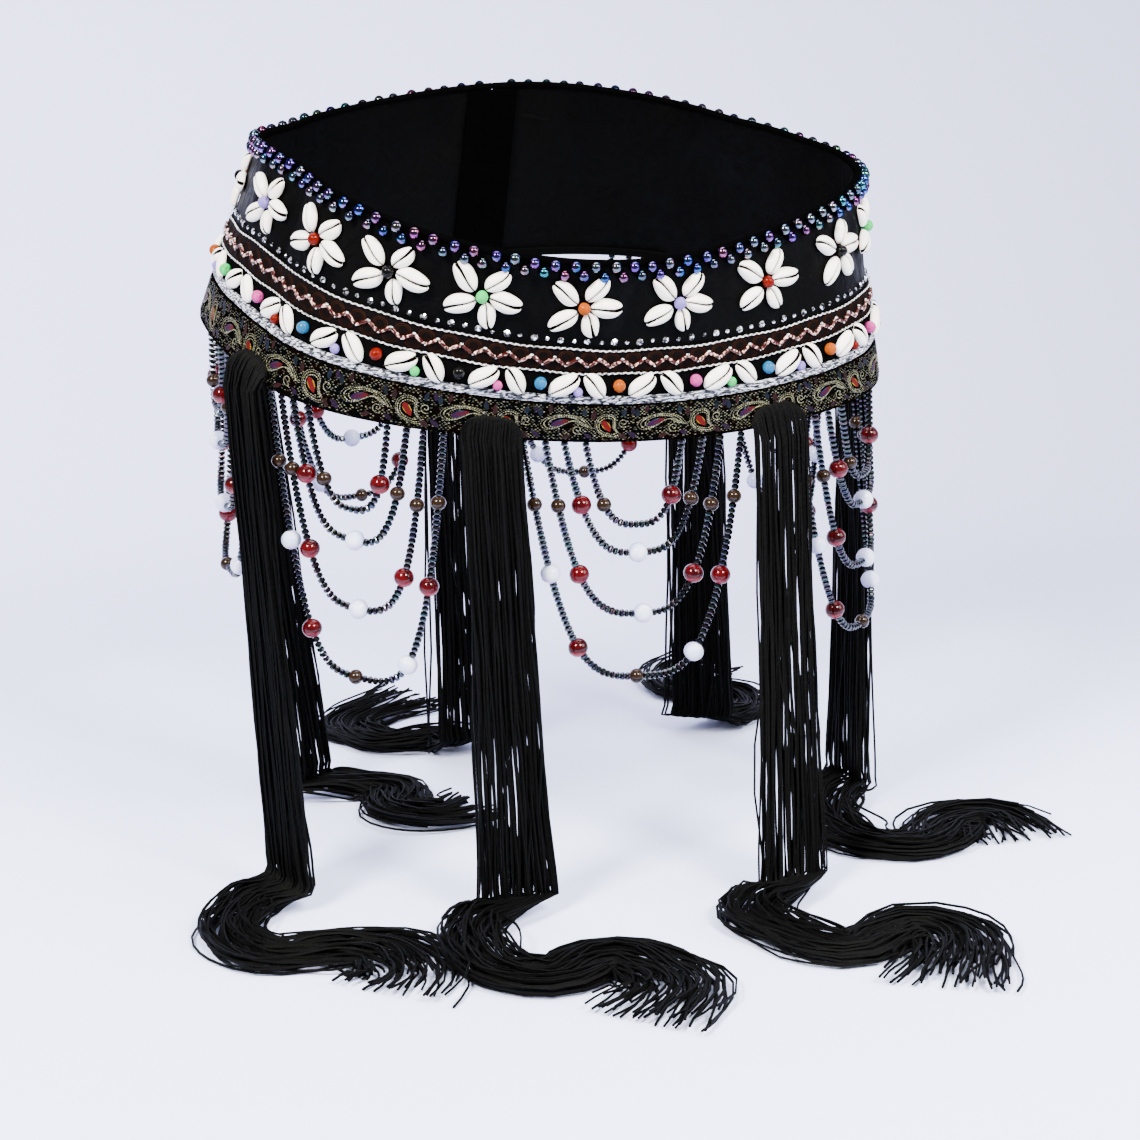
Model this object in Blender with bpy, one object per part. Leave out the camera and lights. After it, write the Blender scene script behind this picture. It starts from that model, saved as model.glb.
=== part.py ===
"""Belly dance hip belt: a stiff flared velvet band with cowrie flowers, woven trims, bead loops and tassels.

Metres, +Z up.  The origin is the middle of the hip opening at the band's top edge, where the wearer's
hips hold it.  -Y is the front and +X is the wearer's left, on the right as one faces the belt.
Every layer on the band is worked out from the same stations round the ring and the same rows down it,
moved outwards, so that layers lie on each other with a thin gap and never cut.
"""
import math

import bmesh
import bpy
import numpy as np
from mathutils import Vector, geometry

# ---------------------------------------------------------------- driving sizes, metres
GAP = 0.0003                    # between neighbouring pieces
STATIONS = 60                   # bays round the band
SEAM = 0.0008                   # open slit at the centre back

TOP_HALF_WIDTH = 0.1643         # the hip opening, a little squared oval
TOP_HALF_DEPTH = 0.1197
HEM_HALF_WIDTH = 0.1857
HEM_HALF_DEPTH = 0.1277
HEM_CENTRE = Vector((-0.007, 0.0226, -0.1008))

PANEL_THICK = 0.0024
BRAID_THICK = 0.0014
RIBBON_THICK = 0.0012
SILVER_THICK = 0.0014
PAISLEY_THICK = 0.0016
TAB_THICK = 0.0018
TAB_HALF_WIDTH = 0.014
TAB_MARGIN = 0.06               # of the band's height, above and below the tab
BINDING_HEIGHT = 0.0030
BINDING_PROUD = 0.0009

FLOOR_DROP = 0.3795             # from the origin down to the floor that the tassels reach

FLOWER_LIFT = 0.0006            # of a flower's foot off the velvet
FLOWER_BEAD_RADIUS = 0.0033
PETAL_HEIGHT = 0.0058
COWRIE_HEIGHT = 0.0050
LOW_BEAD_RADIUS = 0.0036
PAIR_COUNT = 24
FIRST_LOW_BEAD = -0.006         # arc from the front centre

TASSEL_LIFT = 0.0012            # of a tassel's head off the paisley trim
TASSEL_WIDTH = 0.030
TASSEL_DEPTH = 0.0085
TASSEL_HEAD_RISE = 0.0125       # how far the head reaches up over the paisley trim
TASSEL_HEAD_DROP = 0.006        # and below the hem
LOCKS_ACROSS = 4
LOCKS_DEEP = 2
LOCK_RADIUS = 0.0022
ROOT_SHARE = 0.62               # a lock's size where it leaves the head
FLOOR_CLEAR = 0.0022            # of the lowest locks above the floor
HEAP_SPREAD = 1.35              # how much the locks open out on the floor
END_SPREAD = 1.75
LAYER_RISE = 0.0052             # between the two layers of locks where they lie

STRAND_RADIUS = 0.0018
BAY_WIDTH = 0.124               # hem between two tassels that the loops below are drawn for
SAG_POWER = 3.5                 # how square the loops hang
BAY_SET = {"b3": (-0.0068, 1.08)}    # shift along the hem and depth factor of a bay that hangs off the rest
SEAM_CLEAR = 0.004
TAPE_THICK = 0.0022
TAPE_HEIGHT = 0.0050

# Slow waves of the two edges round the ring: height in metres, radius as a share.
WAVES = (
    # edge, what, order, cosine, sine
    ("top", "height", 1, -0.0318, -0.0092),
    ("top", "height", 2, -0.0035, -0.0011),
    ("top", "height", 3, -0.0055, 0.0031),
    ("top", "radius", 2, 0.0, 0.0036),
    ("top", "radius", 3, 0.0128, -0.0391),
    ("top", "radius", 4, -0.0247, 0.0),
    ("hem", "height", 1, -0.0320, -0.0106),
    ("hem", "height", 2, -0.0012, -0.0017),
    ("hem", "height", 3, -0.0010, 0.0023),
    ("hem", "height", 4, -0.0007, -0.0010),
    ("hem", "radius", 2, 0.0, 0.0285),
    ("hem", "radius", 3, 0.0027, 0.0220),
    ("hem", "radius", 4, -0.0612, 0.0),
)

# Soft folds across the band: where, how wide, and how far they stand out at the top and at the hem.
FOLDS = (
    # degrees from the front centre, degrees wide, top, hem
    (-92.0, 7.0, 0.0030, 0.0008),
    (-71.0, 6.0, -0.0032, -0.0012),
    (96.0, 8.0, 0.0018, 0.0006),
    (128.0, 7.0, -0.0020, -0.0010),
    (-134.0, 7.0, -0.0022, -0.0010),
)

# Rows down the band, as a share of its height at the front, and what is added towards +X.
ROWS = {
    # name: (share, lean)
    "top": (0.0, 0.0),
    "rim": (0.033, 0.0),
    "crown": (0.25, 0.0),
    "braid_top": (0.484, 0.042),
    "braid_foot": (0.611, 0.027),
    "silver_top": (0.735, 0.022),
    "silver_foot": (0.785, 0.020),
    "hem": (1.0, 0.0),
}
PANEL_ROWS = ("rim", "crown", "braid_top", "braid_foot", "silver_top", "silver_foot", "hem")

FLOWERS = (
    # name, arc from the front centre, turn in degrees, bead
    ("f01", -0.222, 8, "purple"), ("f02", -0.171, -6, "red"), ("f03", -0.127, 4, "black"),
    ("f04", -0.080, 0, "mint"), ("f05", -0.029, 6, "orange"), ("f06", 0.022, -4, "purple"),
    ("f07", 0.074, 3, "red"), ("f08", 0.130, 10, "black"), ("f09", 0.176, -5, "mint"),
    ("f10", 0.230, 0, "orange"), ("f11", 0.285, 7, "purple"), ("f12", 0.339, -3, "red"),
    ("f13", 0.393, 5, "black"), ("f14", 0.4465, -7, "mint"), ("f15", -0.4405, 2, "orange"),
    ("f16", -0.391, 6, "purple"), ("f17", -0.343, -4, "red"), ("f18", -0.292, 5, "black"),
)
PETAL_DIRECTIONS = (140, 54, -8, -72, -146)     # degrees from the band's length

TASSELS = (
    # name, arc at the hem, lay on the floor: where it lands, then steps, (towards +X, towards the front)
    ("t1", -0.206, ((0.004, 0.016), (-0.022, 0.026), (-0.038, 0.056), (-0.026, 0.09), (0.008, 0.096),
                    (0.031, 0.112), (0.032, 0.142), (0.014, 0.162))),
    ("t2", -0.0685, ((0.002, 0.008), (-0.019, 0.0146), (-0.0336, 0.0354), (-0.033, 0.075), (-0.01, 0.097),
                     (0.0205, 0.086), (0.0355, 0.1035), (0.0375, 0.134), (0.006, 0.164))),
    ("t3", 0.0848, ((-0.012, 0.034), (-0.0366, 0.0457), (-0.0475, 0.062), (-0.0393, 0.087), (-0.0204, 0.118),
                    (0.003, 0.1106), (0.0246, 0.1034), (0.033, 0.13), (0.0, 0.18))),
    ("t4", 0.239, ((-0.012, 0.012), (-0.042, 0.048), (-0.044, 0.09), (-0.014, 0.112), (0.016, 0.088),
                   (0.038, 0.094), (0.034, 0.132))),
    ("t5", 0.38, ((0.0, 0.0), (0.03, -0.014), (0.044, -0.052), (0.02, -0.082), (0.032, -0.118),
                  (0.066, -0.134))),
    ("t6", -0.49, ((0.0, 0.0), (-0.012, -0.028), (-0.044, -0.044), (-0.056, -0.084), (-0.026, -0.11),
                   (0.01, -0.13))),
    ("t7", -0.36, ((0.02, 0.004), (0.044, 0.006), (0.068, 0.022), (0.062, 0.054), (0.084, 0.074),
                   (0.112, 0.068))),
)

LOOPS = (
    # half width at the roots, depth, beads: (share across, radius), from -X to +X
    (0.0265, 0.0470, ((-0.66, 0.0040), (0.72, 0.0053))),
    (0.038, 0.0625, ((-0.78, 0.0053), (0.02, 0.0053), (0.79, 0.0040))),
    (0.048, 0.096, ((-0.87, 0.0040), (-0.66, 0.0053), (0.04, 0.0053), (0.64, 0.0053), (0.86, 0.0040))),
    (0.060, 0.131, ((-0.91, 0.0040), (-0.79, 0.0053), (-0.56, 0.0053), (-0.05, 0.0040),
                    (0.50, 0.0053), (0.77, 0.0053), (0.91, 0.0040))),
)

COLOURS = {
    # name: (red, green, blue, roughness, metallic)
    "velvet": (0.012, 0.011, 0.013, 0.85, 0.0),
    "binding": (0.015, 0.014, 0.016, 0.75, 0.0),
    "braid": (0.055, 0.020, 0.014, 0.70, 0.0),
    "ribbon": (0.014, 0.013, 0.015, 0.70, 0.0),
    "silver": (0.42, 0.42, 0.45, 0.45, 0.3),
    "paisley": (0.045, 0.040, 0.020, 0.65, 0.0),
    "cowrie": (0.80, 0.74, 0.66, 0.25, 0.0),
    "thread": (0.010, 0.010, 0.011, 0.80, 0.0),
    "beads": (0.10, 0.09, 0.14, 0.25, 0.2),
}


# ---------------------------------------------------------------- the band's surface
def wave(edge, what, angle):
    """Sum of the slow waves of one edge at an angle from the front centre."""
    rows = (row for row in WAVES if row[0] == edge and row[1] == what)
    return sum(c * math.cos(n * angle) + s * math.sin(n * angle) for _, _, n, c, s in rows)


def fold(angle, column):
    """How far the folds push an edge out at an angle."""
    total = 0.0
    for row in FOLDS:
        away = (math.degrees(angle) - row[0]) / row[1]
        total += row[column] * math.exp(-away * away)
    return total


def top_point(angle):
    radius = 1.0 + wave("top", "radius", angle)
    return Vector((TOP_HALF_WIDTH * math.sin(angle) * radius,
                   -TOP_HALF_DEPTH * math.cos(angle) * radius,
                   wave("top", "height", angle)))


def hem_point(angle):
    radius = 1.0 + wave("hem", "radius", angle)
    return HEM_CENTRE + Vector((HEM_HALF_WIDTH * math.sin(angle) * radius,
                                -HEM_HALF_DEPTH * math.cos(angle) * radius,
                                wave("hem", "height", angle)))


def outward(angle):
    """Unit normal of the band at half height."""
    step = 0.02
    ahead = top_point(angle + step) + hem_point(angle + step)
    behind = top_point(angle - step) + hem_point(angle - step)
    return (ahead - behind).cross(top_point(angle) - hem_point(angle)).normalized()


def even_angles(count, slit):
    """Angles of stations evenly spaced along the band's middle, from one side of the slit to the other."""
    angles = np.linspace(-math.pi, math.pi, 1441)
    middle = np.array([(top_point(a) + hem_point(a)) * 0.5 for a in angles])
    run = np.concatenate(([0.0], np.cumsum(np.linalg.norm(np.diff(middle, axis=0), axis=1))))
    return np.interp(np.linspace(slit / 2, run[-1] - slit / 2, count + 1), run, angles)


ANGLES = even_angles(STATIONS, SEAM)
NORMALS = [outward(a) for a in ANGLES]
TOPS = [top_point(a) + n * fold(a, 2) for a, n in zip(ANGLES, NORMALS)]
HEMS = [hem_point(a) + n * fold(a, 3) for a, n in zip(ANGLES, NORMALS)]


def row_share(row, station):
    share, lean = ROWS[row]
    angle = float(np.interp(station, range(STATIONS + 1), ANGLES))
    return share + lean * math.sin(angle)


def at_station(k, share, out):
    return TOPS[k].lerp(HEMS[k], share) + NORMALS[k] * out


def on_band(station, share, out):
    """Point on the faceted band at a station that needn't be whole."""
    k = min(max(int(math.floor(station)), 0), STATIONS - 1)
    return at_station(k, share, out).lerp(at_station(k + 1, share, out), station - k)


def station_finder(row):
    """Function from the arc along a row, measured from the front centre, to the station."""
    line = np.array([at_station(k, row_share(row, k), 0.0) for k in range(STATIONS + 1)])
    run = np.concatenate(([0.0], np.cumsum(np.linalg.norm(np.diff(line, axis=0), axis=1))))
    run -= np.interp(0.0, ANGLES, run)
    return (lambda arc: float(np.interp(arc, run, range(STATIONS + 1)))), run


def height_at(station):
    k = int(round(station))
    return (TOPS[k] - HEMS[k]).length


# ---------------------------------------------------------------- making objects
def material(name):
    found = bpy.data.materials.get(name)
    if found:
        return found
    red, green, blue, rough, metal = COLOURS[name]
    made = bpy.data.materials.new(name)
    made.use_nodes = True
    shader = made.node_tree.nodes["Principled BSDF"]
    shader.inputs["Base Color"].default_value = (red, green, blue, 1.0)
    shader.inputs["Roughness"].default_value = rough
    shader.inputs["Metallic"].default_value = metal
    made.diffuse_color = (red, green, blue, 1.0)
    return made


def add_object(name, points, faces, finish):
    """One closed mesh, faces turned outwards."""
    mesh = bpy.data.meshes.new(name)
    mesh.from_pydata([tuple(p) for p in points], [], faces)
    work = bmesh.new()
    work.from_mesh(mesh)
    bmesh.ops.recalc_face_normals(work, faces=work.faces)
    work.to_mesh(mesh)
    work.free()
    mesh.materials.append(material(finish))
    made = bpy.data.objects.new(name, mesh)
    COLLECTION.objects.link(made)
    return made


def join_rings(first, second, crossed=()):
    """Triangles between two rings of point numbers; the crossed sides are cut along the other diagonal."""
    count = len(first)
    faces = []
    for i in range(count):
        j = (i + 1) % count
        if i in crossed:
            faces += [(first[i], second[i], first[j]), (second[i], second[j], first[j])]
        else:
            faces += [(first[i], second[i], second[j]), (first[i], second[j], first[j])]
    return faces


def loft(name, sections, finish, crossed=()):
    """Closed body through sections with equal numbers of points."""
    count = len(sections[0])
    points = [p for section in sections for p in section]
    rings = [list(range(i * count, (i + 1) * count)) for i in range(len(sections))]
    faces = []
    for first, second in zip(rings, rings[1:]):
        faces += join_rings(first, second, crossed)
    faces.append(tuple(reversed(rings[0])))
    faces.append(tuple(rings[-1]))
    return add_object(name, points, faces, finish)


def fill_flat(outline, inner=(), ties=(), holes=()):
    """Delaunay triangles inside a flat outline, through inner points and ties, less its holes."""
    flat = list(outline) + list(inner)
    count = len(outline)
    edges = [(i, (i + 1) % count) for i in range(count)] + list(ties)
    for hole in holes:
        edges += [(hole[i], hole[(i + 1) % len(hole)]) for i in range(len(hole))]
    result = geometry.delaunay_2d_cdt([Vector(p) for p in flat], edges, [tuple(range(count))], 1, 1e-9)
    if len(result[0]) != len(flat):
        raise RuntimeError("the outline crosses itself")
    number = {new: old[0] for new, old in enumerate(result[3])}
    faces = [tuple(number[v] for v in face) for face in result[2]]
    return [face for face in faces if not any(set(face) <= set(hole) for hole in holes)]


# ---------------------------------------------------------------- layers of the band
def strip(name, rows, base, thick, finish, first=0, last=STATIONS):
    """Cloth strip between two or more rows, on the band's face or under it."""
    sections = []
    for k in range(first, last + 1):
        shares = [row_share(row, k) for row in rows]
        clear = GAP / 2 / height_at(k)
        if rows[0] != "rim":
            shares[0] += clear
        if rows[-1] != "hem":
            shares[-1] -= clear
        outer = [at_station(k, share, base + thick) for share in shares]
        inner = [at_station(k, share, base) for share in (shares[-1], shares[0])]
        sections.append(outer + inner)
    return loft(name, sections, finish, crossed=(len(rows),))


def top_binding():
    """Narrow folded tape that caps the band's top edge."""
    sections = []
    for k in range(STATIONS + 1):
        up = (TOPS[k] - HEMS[k]).normalized()
        across = NORMALS[k]
        foot = at_station(k, ROWS["rim"][0], 0.0) + up * GAP
        shape = ((BINDING_PROUD, 0.0), (BINDING_PROUD, BINDING_HEIGHT * 0.7),
                 (-PANEL_THICK / 2, BINDING_HEIGHT), (-PANEL_THICK - BINDING_PROUD, BINDING_HEIGHT * 0.7),
                 (-PANEL_THICK - BINDING_PROUD, 0.0))
        sections.append([foot + across * out + up * rise for out, rise in shape])
    return loft("top_binding", sections, "binding")


def closure_tab():
    """Plain tab under the slit at the centre back, inside the wall."""
    sections = [[], [], []]
    for share, depth in ((TAB_MARGIN, 0.0), (1 - TAB_MARGIN, 0.0), (1 - TAB_MARGIN, 1.0), (TAB_MARGIN, 1.0)):
        out = -PANEL_THICK - GAP - depth * TAB_THICK
        left_edge, left_inner = at_station(STATIONS, share, out), at_station(STATIONS - 1, share, out)
        right_edge, right_inner = at_station(0, share, out), at_station(1, share, out)
        sections[0].append(left_edge + (left_inner - left_edge).normalized() * TAB_HALF_WIDTH)
        sections[1].append((left_edge + right_edge) * 0.5)
        sections[2].append(right_edge + (right_inner - right_edge).normalized() * TAB_HALF_WIDTH)
    return loft("closure_tab", sections, "velvet")


# ---------------------------------------------------------------- cowrie flowers
def flower(name, arc, turn):
    """Five cowries round a bead, raised from one star-shaped foot that follows the band's face."""
    find, _ = station_finder("crown")
    centre_share = ROWS["crown"][0]
    outline, peaks = [], [((0.0, 0.0), FLOWER_BEAD_RADIUS * 2.1)]
    ties = []
    directions = [math.radians(d + turn) for d in PETAL_DIRECTIONS]
    for i, direction in enumerate(directions):
        following = directions[(i + 1) % 5]
        gap = (direction - following) % (2 * math.pi)
        valley = direction - gap / 2
        for along, aside in ((0.0085, 0.0042), (0.0145, 0.0054), (0.0200, 0.0026),
                             (0.0200, -0.0026), (0.0145, -0.0054), (0.0085, -0.0042)):
            outline.append(turned(along, aside, direction))
        outline.append(turned(0.0052, 0.0, valley))
        for along, rise in ((0.0048, 0.62), (0.0090, 0.85), (0.0150, 1.0), (0.0190, 0.55)):
            peaks.append((turned(along, 0.0, direction), rise * PETAL_HEIGHT))
    count = len(outline)
    for i in range(5):
        first = count + 1 + 4 * i
        ties += [(first, first + 1), (first + 1, first + 2), (first + 2, first + 3)]
    under = [(0.0, 0.0)] + [turned(0.0105, 0.0, direction) for direction in directions]
    rises = [0.0] * count + [rise for _, rise in peaks] + [0.0] * len(under)
    flat = outline + [place for place, _ in peaks] + under

    def put(place, rise):
        station = find(arc + place[0])
        return on_band(station, centre_share - place[1] / height_at(station), FLOWER_LIFT + rise)

    points = [put(place, rise) for place, rise in zip(flat, rises)]
    upper = fill_flat(outline, [place for place, _ in peaks], ties)
    lower = [tuple(v if v < count else v + len(peaks) for v in face) for face in fill_flat(outline, under)]
    faces = upper + [tuple(reversed(face)) for face in lower]
    return add_object("flower_" + name, points, faces, "cowrie")


def turned(along, aside, direction):
    """Flat place reached by going along a direction and aside from it."""
    return (along * math.cos(direction) - aside * math.sin(direction),
            along * math.sin(direction) + aside * math.cos(direction))


# ---------------------------------------------------------------- ribbon with leaning cowries
def oval(cx, cy, half_long, half_wide, lean, sides):
    """Corners of an oval whose long axis leans from upright, anticlockwise."""
    corners = []
    for i in range(sides):
        turn = 2 * math.pi * i / sides
        along, aside = half_long * math.cos(turn), half_wide * math.sin(turn)
        corners.append((cx + along * math.sin(lean) - aside * math.cos(lean),
                        cy + along * math.cos(lean) + aside * math.sin(lean)))
    return corners


def cowrie_ribbon():
    """Black ribbon, its cowries and beads raised from its face over a plain back."""
    find, run = station_finder("braid_foot")
    total = run[-1] - run[0]
    pitch = total / PAIR_COUNT
    tall = (ROWS["silver_top"][0] - ROWS["braid_foot"][0]) * height_at(STATIONS / 2)
    half = tall / 2
    margin = 0.0004
    outline = [(run[k], -half) for k in range(STATIONS + 1)]
    outline += [(run[k], half) for k in range(STATIONS, -1, -1)]
    inner, rises, ties = [], [], []

    def add(places, rise):
        first = len(outline) + len(inner)
        inner.extend(places)
        rises.extend([rise] * len(places))
        return list(range(first, first + len(places)))

    start = FIRST_LOW_BEAD
    cell = int(math.ceil((run[0] - start) / pitch - 0.5))
    while start + cell * pitch < run[-1] - 0.004:
        for offset, shape in ((0.0, "bead"), (0.31, "right"), (0.5, "bead_low"), (0.69, "left")):
            middle = start + (cell + offset) * pitch
            if not run[0] + 0.009 < middle < run[-1] - 0.009:
                continue
            if shape.startswith("bead"):
                low = -0.25 * half if shape == "bead_low" else 0.0
                radius = LOW_BEAD_RADIUS * (0.62 if shape == "bead_low" else 1.0)
                ring = add(oval(middle, low, radius, radius, 0.0, 4), 0.0)
                add([(middle, low)], radius * 1.7)
            else:
                lean = math.radians(36 if shape == "left" else -36)
                ring = add(oval(middle, margin, half * 0.98, 0.0047, lean, 6), 0.0)
                reach = half * 0.42
                ridge = [(middle - reach * math.sin(lean), margin - reach * math.cos(lean)),
                         (middle + reach * math.sin(lean), margin + reach * math.cos(lean))]
                top = add(ridge, COWRIE_HEIGHT)
                ties.append(tuple(top))
            ties += [(ring[i], ring[(i + 1) % len(ring)]) for i in range(len(ring))]
        cell += 1
    upper = fill_flat(outline, inner, ties)

    def put(place, rise):
        station = find(place[0])
        high, low = row_share("braid_foot", station), row_share("silver_top", station)
        clear = GAP / 2 / height_at(station)
        share = high + clear + (low - high - 2 * clear) * (half - place[1]) / tall
        return on_band(station, share, rise)

    face = GAP + RIBBON_THICK
    points = [put(place, face) for place in outline]
    points += [put(place, face + rise) for place, rise in zip(inner, rises)]
    back = len(points)
    points += [put(place, GAP) for place in outline]
    faces = list(upper)
    count = len(outline)
    for k in range(STATIONS):
        low_a, low_b = back + k, back + k + 1
        high_a, high_b = back + count - 1 - k, back + count - 2 - k
        faces += [(high_a, high_b, low_b), (high_a, low_b, low_a)]
    for i in range(count):
        j = (i + 1) % count
        faces += [(i, back + i, back + j), (i, back + j, j)]
    return add_object("cowrie_ribbon", points, faces, "ribbon")


# ---------------------------------------------------------------- tassels
def smooth_path(controls, steps):
    """Points of a smooth curve through the control points, evenly stepped in each stretch."""
    padded = [controls[0] * 2 - controls[1]] + controls + [controls[-1] * 2 - controls[-2]]
    path = []
    for i in range(1, len(padded) - 2):
        a, b, c, d = padded[i - 1:i + 3]
        for n in range(steps):
            u = n / steps
            path.append(0.5 * ((2 * b) + (c - a) * u + (2 * a - 5 * b + 4 * c - d) * u * u
                               + (3 * b - a - 3 * c + d) * u ** 3))
    path.append(padded[-2])
    return path


def tassel(name, arc, lay):
    """Gathered head over the trim, and locks that drop to the floor and lie along it."""
    find, _ = station_finder("hem")
    station = find(arc)
    skin = GAP + PAISLEY_THICK + TASSEL_LIFT
    hem = on_band(station, 1.0, skin)
    tangent = on_band(station + 0.4, 1.0, 0.0) - on_band(station - 0.4, 1.0, 0.0)
    tangent = Vector((tangent.x, tangent.y, 0.0)).normalized()
    out = Vector((tangent.y, -tangent.x, 0.0))
    half = TASSEL_WIDTH / 2
    down = Vector((0, 0, -1))

    # head: rings of eight points, the back following the trim's face
    points, faces = [], []
    rows = ((-TASSEL_HEAD_RISE, 0.80, 0.45), (-TASSEL_HEAD_RISE * 0.55, 0.95, 0.9), (0.0, 1.0, 1.0))
    across = (-1.0, -0.4, 0.4, 1.0)
    for drop, width, depth in rows:
        back, front = [], []
        for x in across:
            spot = find(arc + x * half * width)
            base = on_band(spot, 1.0 + drop / height_at(spot), skin)
            bulge = depth * TASSEL_DEPTH * (0.72 if abs(x) > 0.9 else 1.0)
            back.append(base)
            front.append(base + NORMALS[int(round(spot))] * bulge)
        points += back + list(reversed(front))
    foot = hem.z - TASSEL_HEAD_DROP
    for x in across:
        base = on_band(find(arc + x * half), 1.0, skin) + out * 0.0006
        points.append(Vector((base.x, base.y, foot)))
    for x in reversed(across):
        bulge = TASSEL_DEPTH * (0.80 if abs(x) > 0.9 else 1.0)
        base = on_band(find(arc + x * half), 1.0, skin) + out * (0.0006 + bulge)
        points.append(Vector((base.x, base.y, foot)))
    rings = [list(range(8 * i, 8 * i + 8)) for i in range(4)]
    for first, second in zip(rings, rings[1:]):
        faces += join_rings(first, second)
    faces.append(tuple(reversed(rings[0])))
    sole = rings[-1]

    # roots of the locks: triangles in the head's flat sole
    middle = sum((points[i] for i in sole), Vector()) / 8
    flat = [((points[i] - middle).dot(tangent), (points[i] - middle).dot(out)) for i in sole]
    pitch_x = TASSEL_WIDTH * 0.90 / LOCKS_ACROSS
    back_x, back_y = [p[0] for p in flat[:4]], [p[1] for p in flat[:4]]
    front_x, front_y = [p[0] for p in reversed(flat[4:])], [p[1] for p in reversed(flat[4:])]
    inner, holes, seats = [], [], []
    for i in range(LOCKS_ACROSS):
        for j in range(LOCKS_DEEP):
            x = (i - (LOCKS_ACROSS - 1) / 2) * pitch_x
            rear, front = np.interp(x, back_x, back_y), np.interp(x, front_x, front_y)
            y = rear + (front - rear) * (0.30 if j == 0 else 0.70)
            corners = [(x + LOCK_RADIUS * ROOT_SHARE * cx, y + LOCK_RADIUS * ROOT_SHARE * cy)
                       for cx, cy in lock_corners(j)]
            first = len(flat) + len(inner)
            inner += corners
            holes.append((first, first + 1, first + 2))
            seats.append((i, j))
    sole_points = [middle + tangent * x + out * y for x, y in inner]
    base = len(points)
    points += sole_points
    for face in fill_flat(flat, inner, (), holes):
        faces.append(tuple(sole[v] if v < 8 else base + v - 8 for v in face))

    # path of the bundle's middle: straight down, then along the floor
    floor = -FLOOR_DROP + LOCK_RADIUS + FLOOR_CLEAR + LAYER_RISE / 2
    landing = Vector((middle.x + lay[0][0], middle.y - lay[0][1], floor + 0.022))
    drop = [middle, middle.lerp(landing, 0.55), landing]
    rest = [Vector((middle.x + x, middle.y - y, floor)) for x, y in lay[1:]]
    path = smooth_path([drop[-1] + Vector((0, 0, 0.03))] + [drop[-1]] + rest, 2)[2:]
    path = drop[:2] + path
    first_way = (rest[0] - drop[-1]).to_2d().normalized()
    turn_to = Vector((-first_way.y, first_way.x, 0.0))
    frames = []
    for n, place in enumerate(path):
        ahead = path[min(n + 1, len(path) - 1)]
        behind = path[max(n - 1, 0)]
        way = (ahead - behind).normalized()
        level = Vector((way.x, way.y, 0.0))
        if n < 3:
            side = tangent.lerp(turn_to, (0.0, 0.35, 1.0)[n]).normalized()
            way = down if n < 2 else way
        else:
            side = Vector((-level.y, level.x, 0.0)).normalized()
        frames.append((place, side, way.cross(side).normalized(), way))
    spread_last = len(path) - 1
    for seat, (i, j) in enumerate(seats):
        ring = [base + 3 * seat + n for n in range(3)]
        x = (i - (LOCKS_ACROSS - 1) / 2) * pitch_x
        for n, (place, side, lift, way) in enumerate(frames[1:], start=1):
            opened = HEAP_SPREAD if n > 3 else 1.0
            opened = END_SPREAD if n == spread_last else opened
            trim = (0.012 * math.sin(5.1 * i + 2.3 * j + 9.0 * arc)) if n == spread_last else 0.0
            rise = (j - (LOCKS_DEEP - 1) / 2) * LAYER_RISE
            centre = place + side * x * opened + lift * rise + way * trim
            new = [centre + side * (LOCK_RADIUS * cx) + lift * (LOCK_RADIUS * cy)
                   for cx, cy in lock_corners(j)]
            number = list(range(len(points), len(points) + 3))
            points += new
            faces += join_rings(ring, number)
            ring = number
        faces.append(tuple(ring))
    return add_object("tassel_" + name, points, faces, "thread")


def lock_corners(layer):
    """Corners of a lock's three-sided section; the two layers point away from each other."""
    turn = math.radians(90 if layer else -90)
    return [(math.cos(turn + n * 2 * math.pi / 3), math.sin(turn + n * 2 * math.pi / 3)) for n in range(3)]


# ---------------------------------------------------------------- bead loops
def loop_points(centre_arc, half, depth, beads, find, top_z_at):
    """Centres and half thicknesses along one hanging loop, root to root."""
    marks = [(-1.0, STRAND_RADIUS)]
    for share, radius in beads:
        step = radius * 0.9 / half
        slope = SAG_POWER * abs(share) ** (SAG_POWER - 1) * depth / half
        step /= math.sqrt(1 + slope * slope)
        marks += [(share - step, STRAND_RADIUS), (share, radius), (share + step, STRAND_RADIUS)]
    marks.append((1.0, STRAND_RADIUS))
    filled = []
    for (u, r), (w, s) in zip(marks, marks[1:]):
        filled.append((u, r))
        rise = depth * (abs(w) ** SAG_POWER - abs(u) ** SAG_POWER)
        run = half * (w - u)
        if math.hypot(rise, run) > 0.030:
            filled.append(((u + w) / 2, STRAND_RADIUS))
    filled.append(marks[-1])
    line = []
    for u, radius in filled:
        station = find(centre_arc + u * half)
        hem = on_band(station, 1.0, -PANEL_THICK - GAP - TAPE_THICK / 2)
        chord = top_z_at(u)
        line.append((Vector((hem.x, hem.y, chord - depth * (1 - abs(u) ** SAG_POWER))), radius))
    return line


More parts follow.
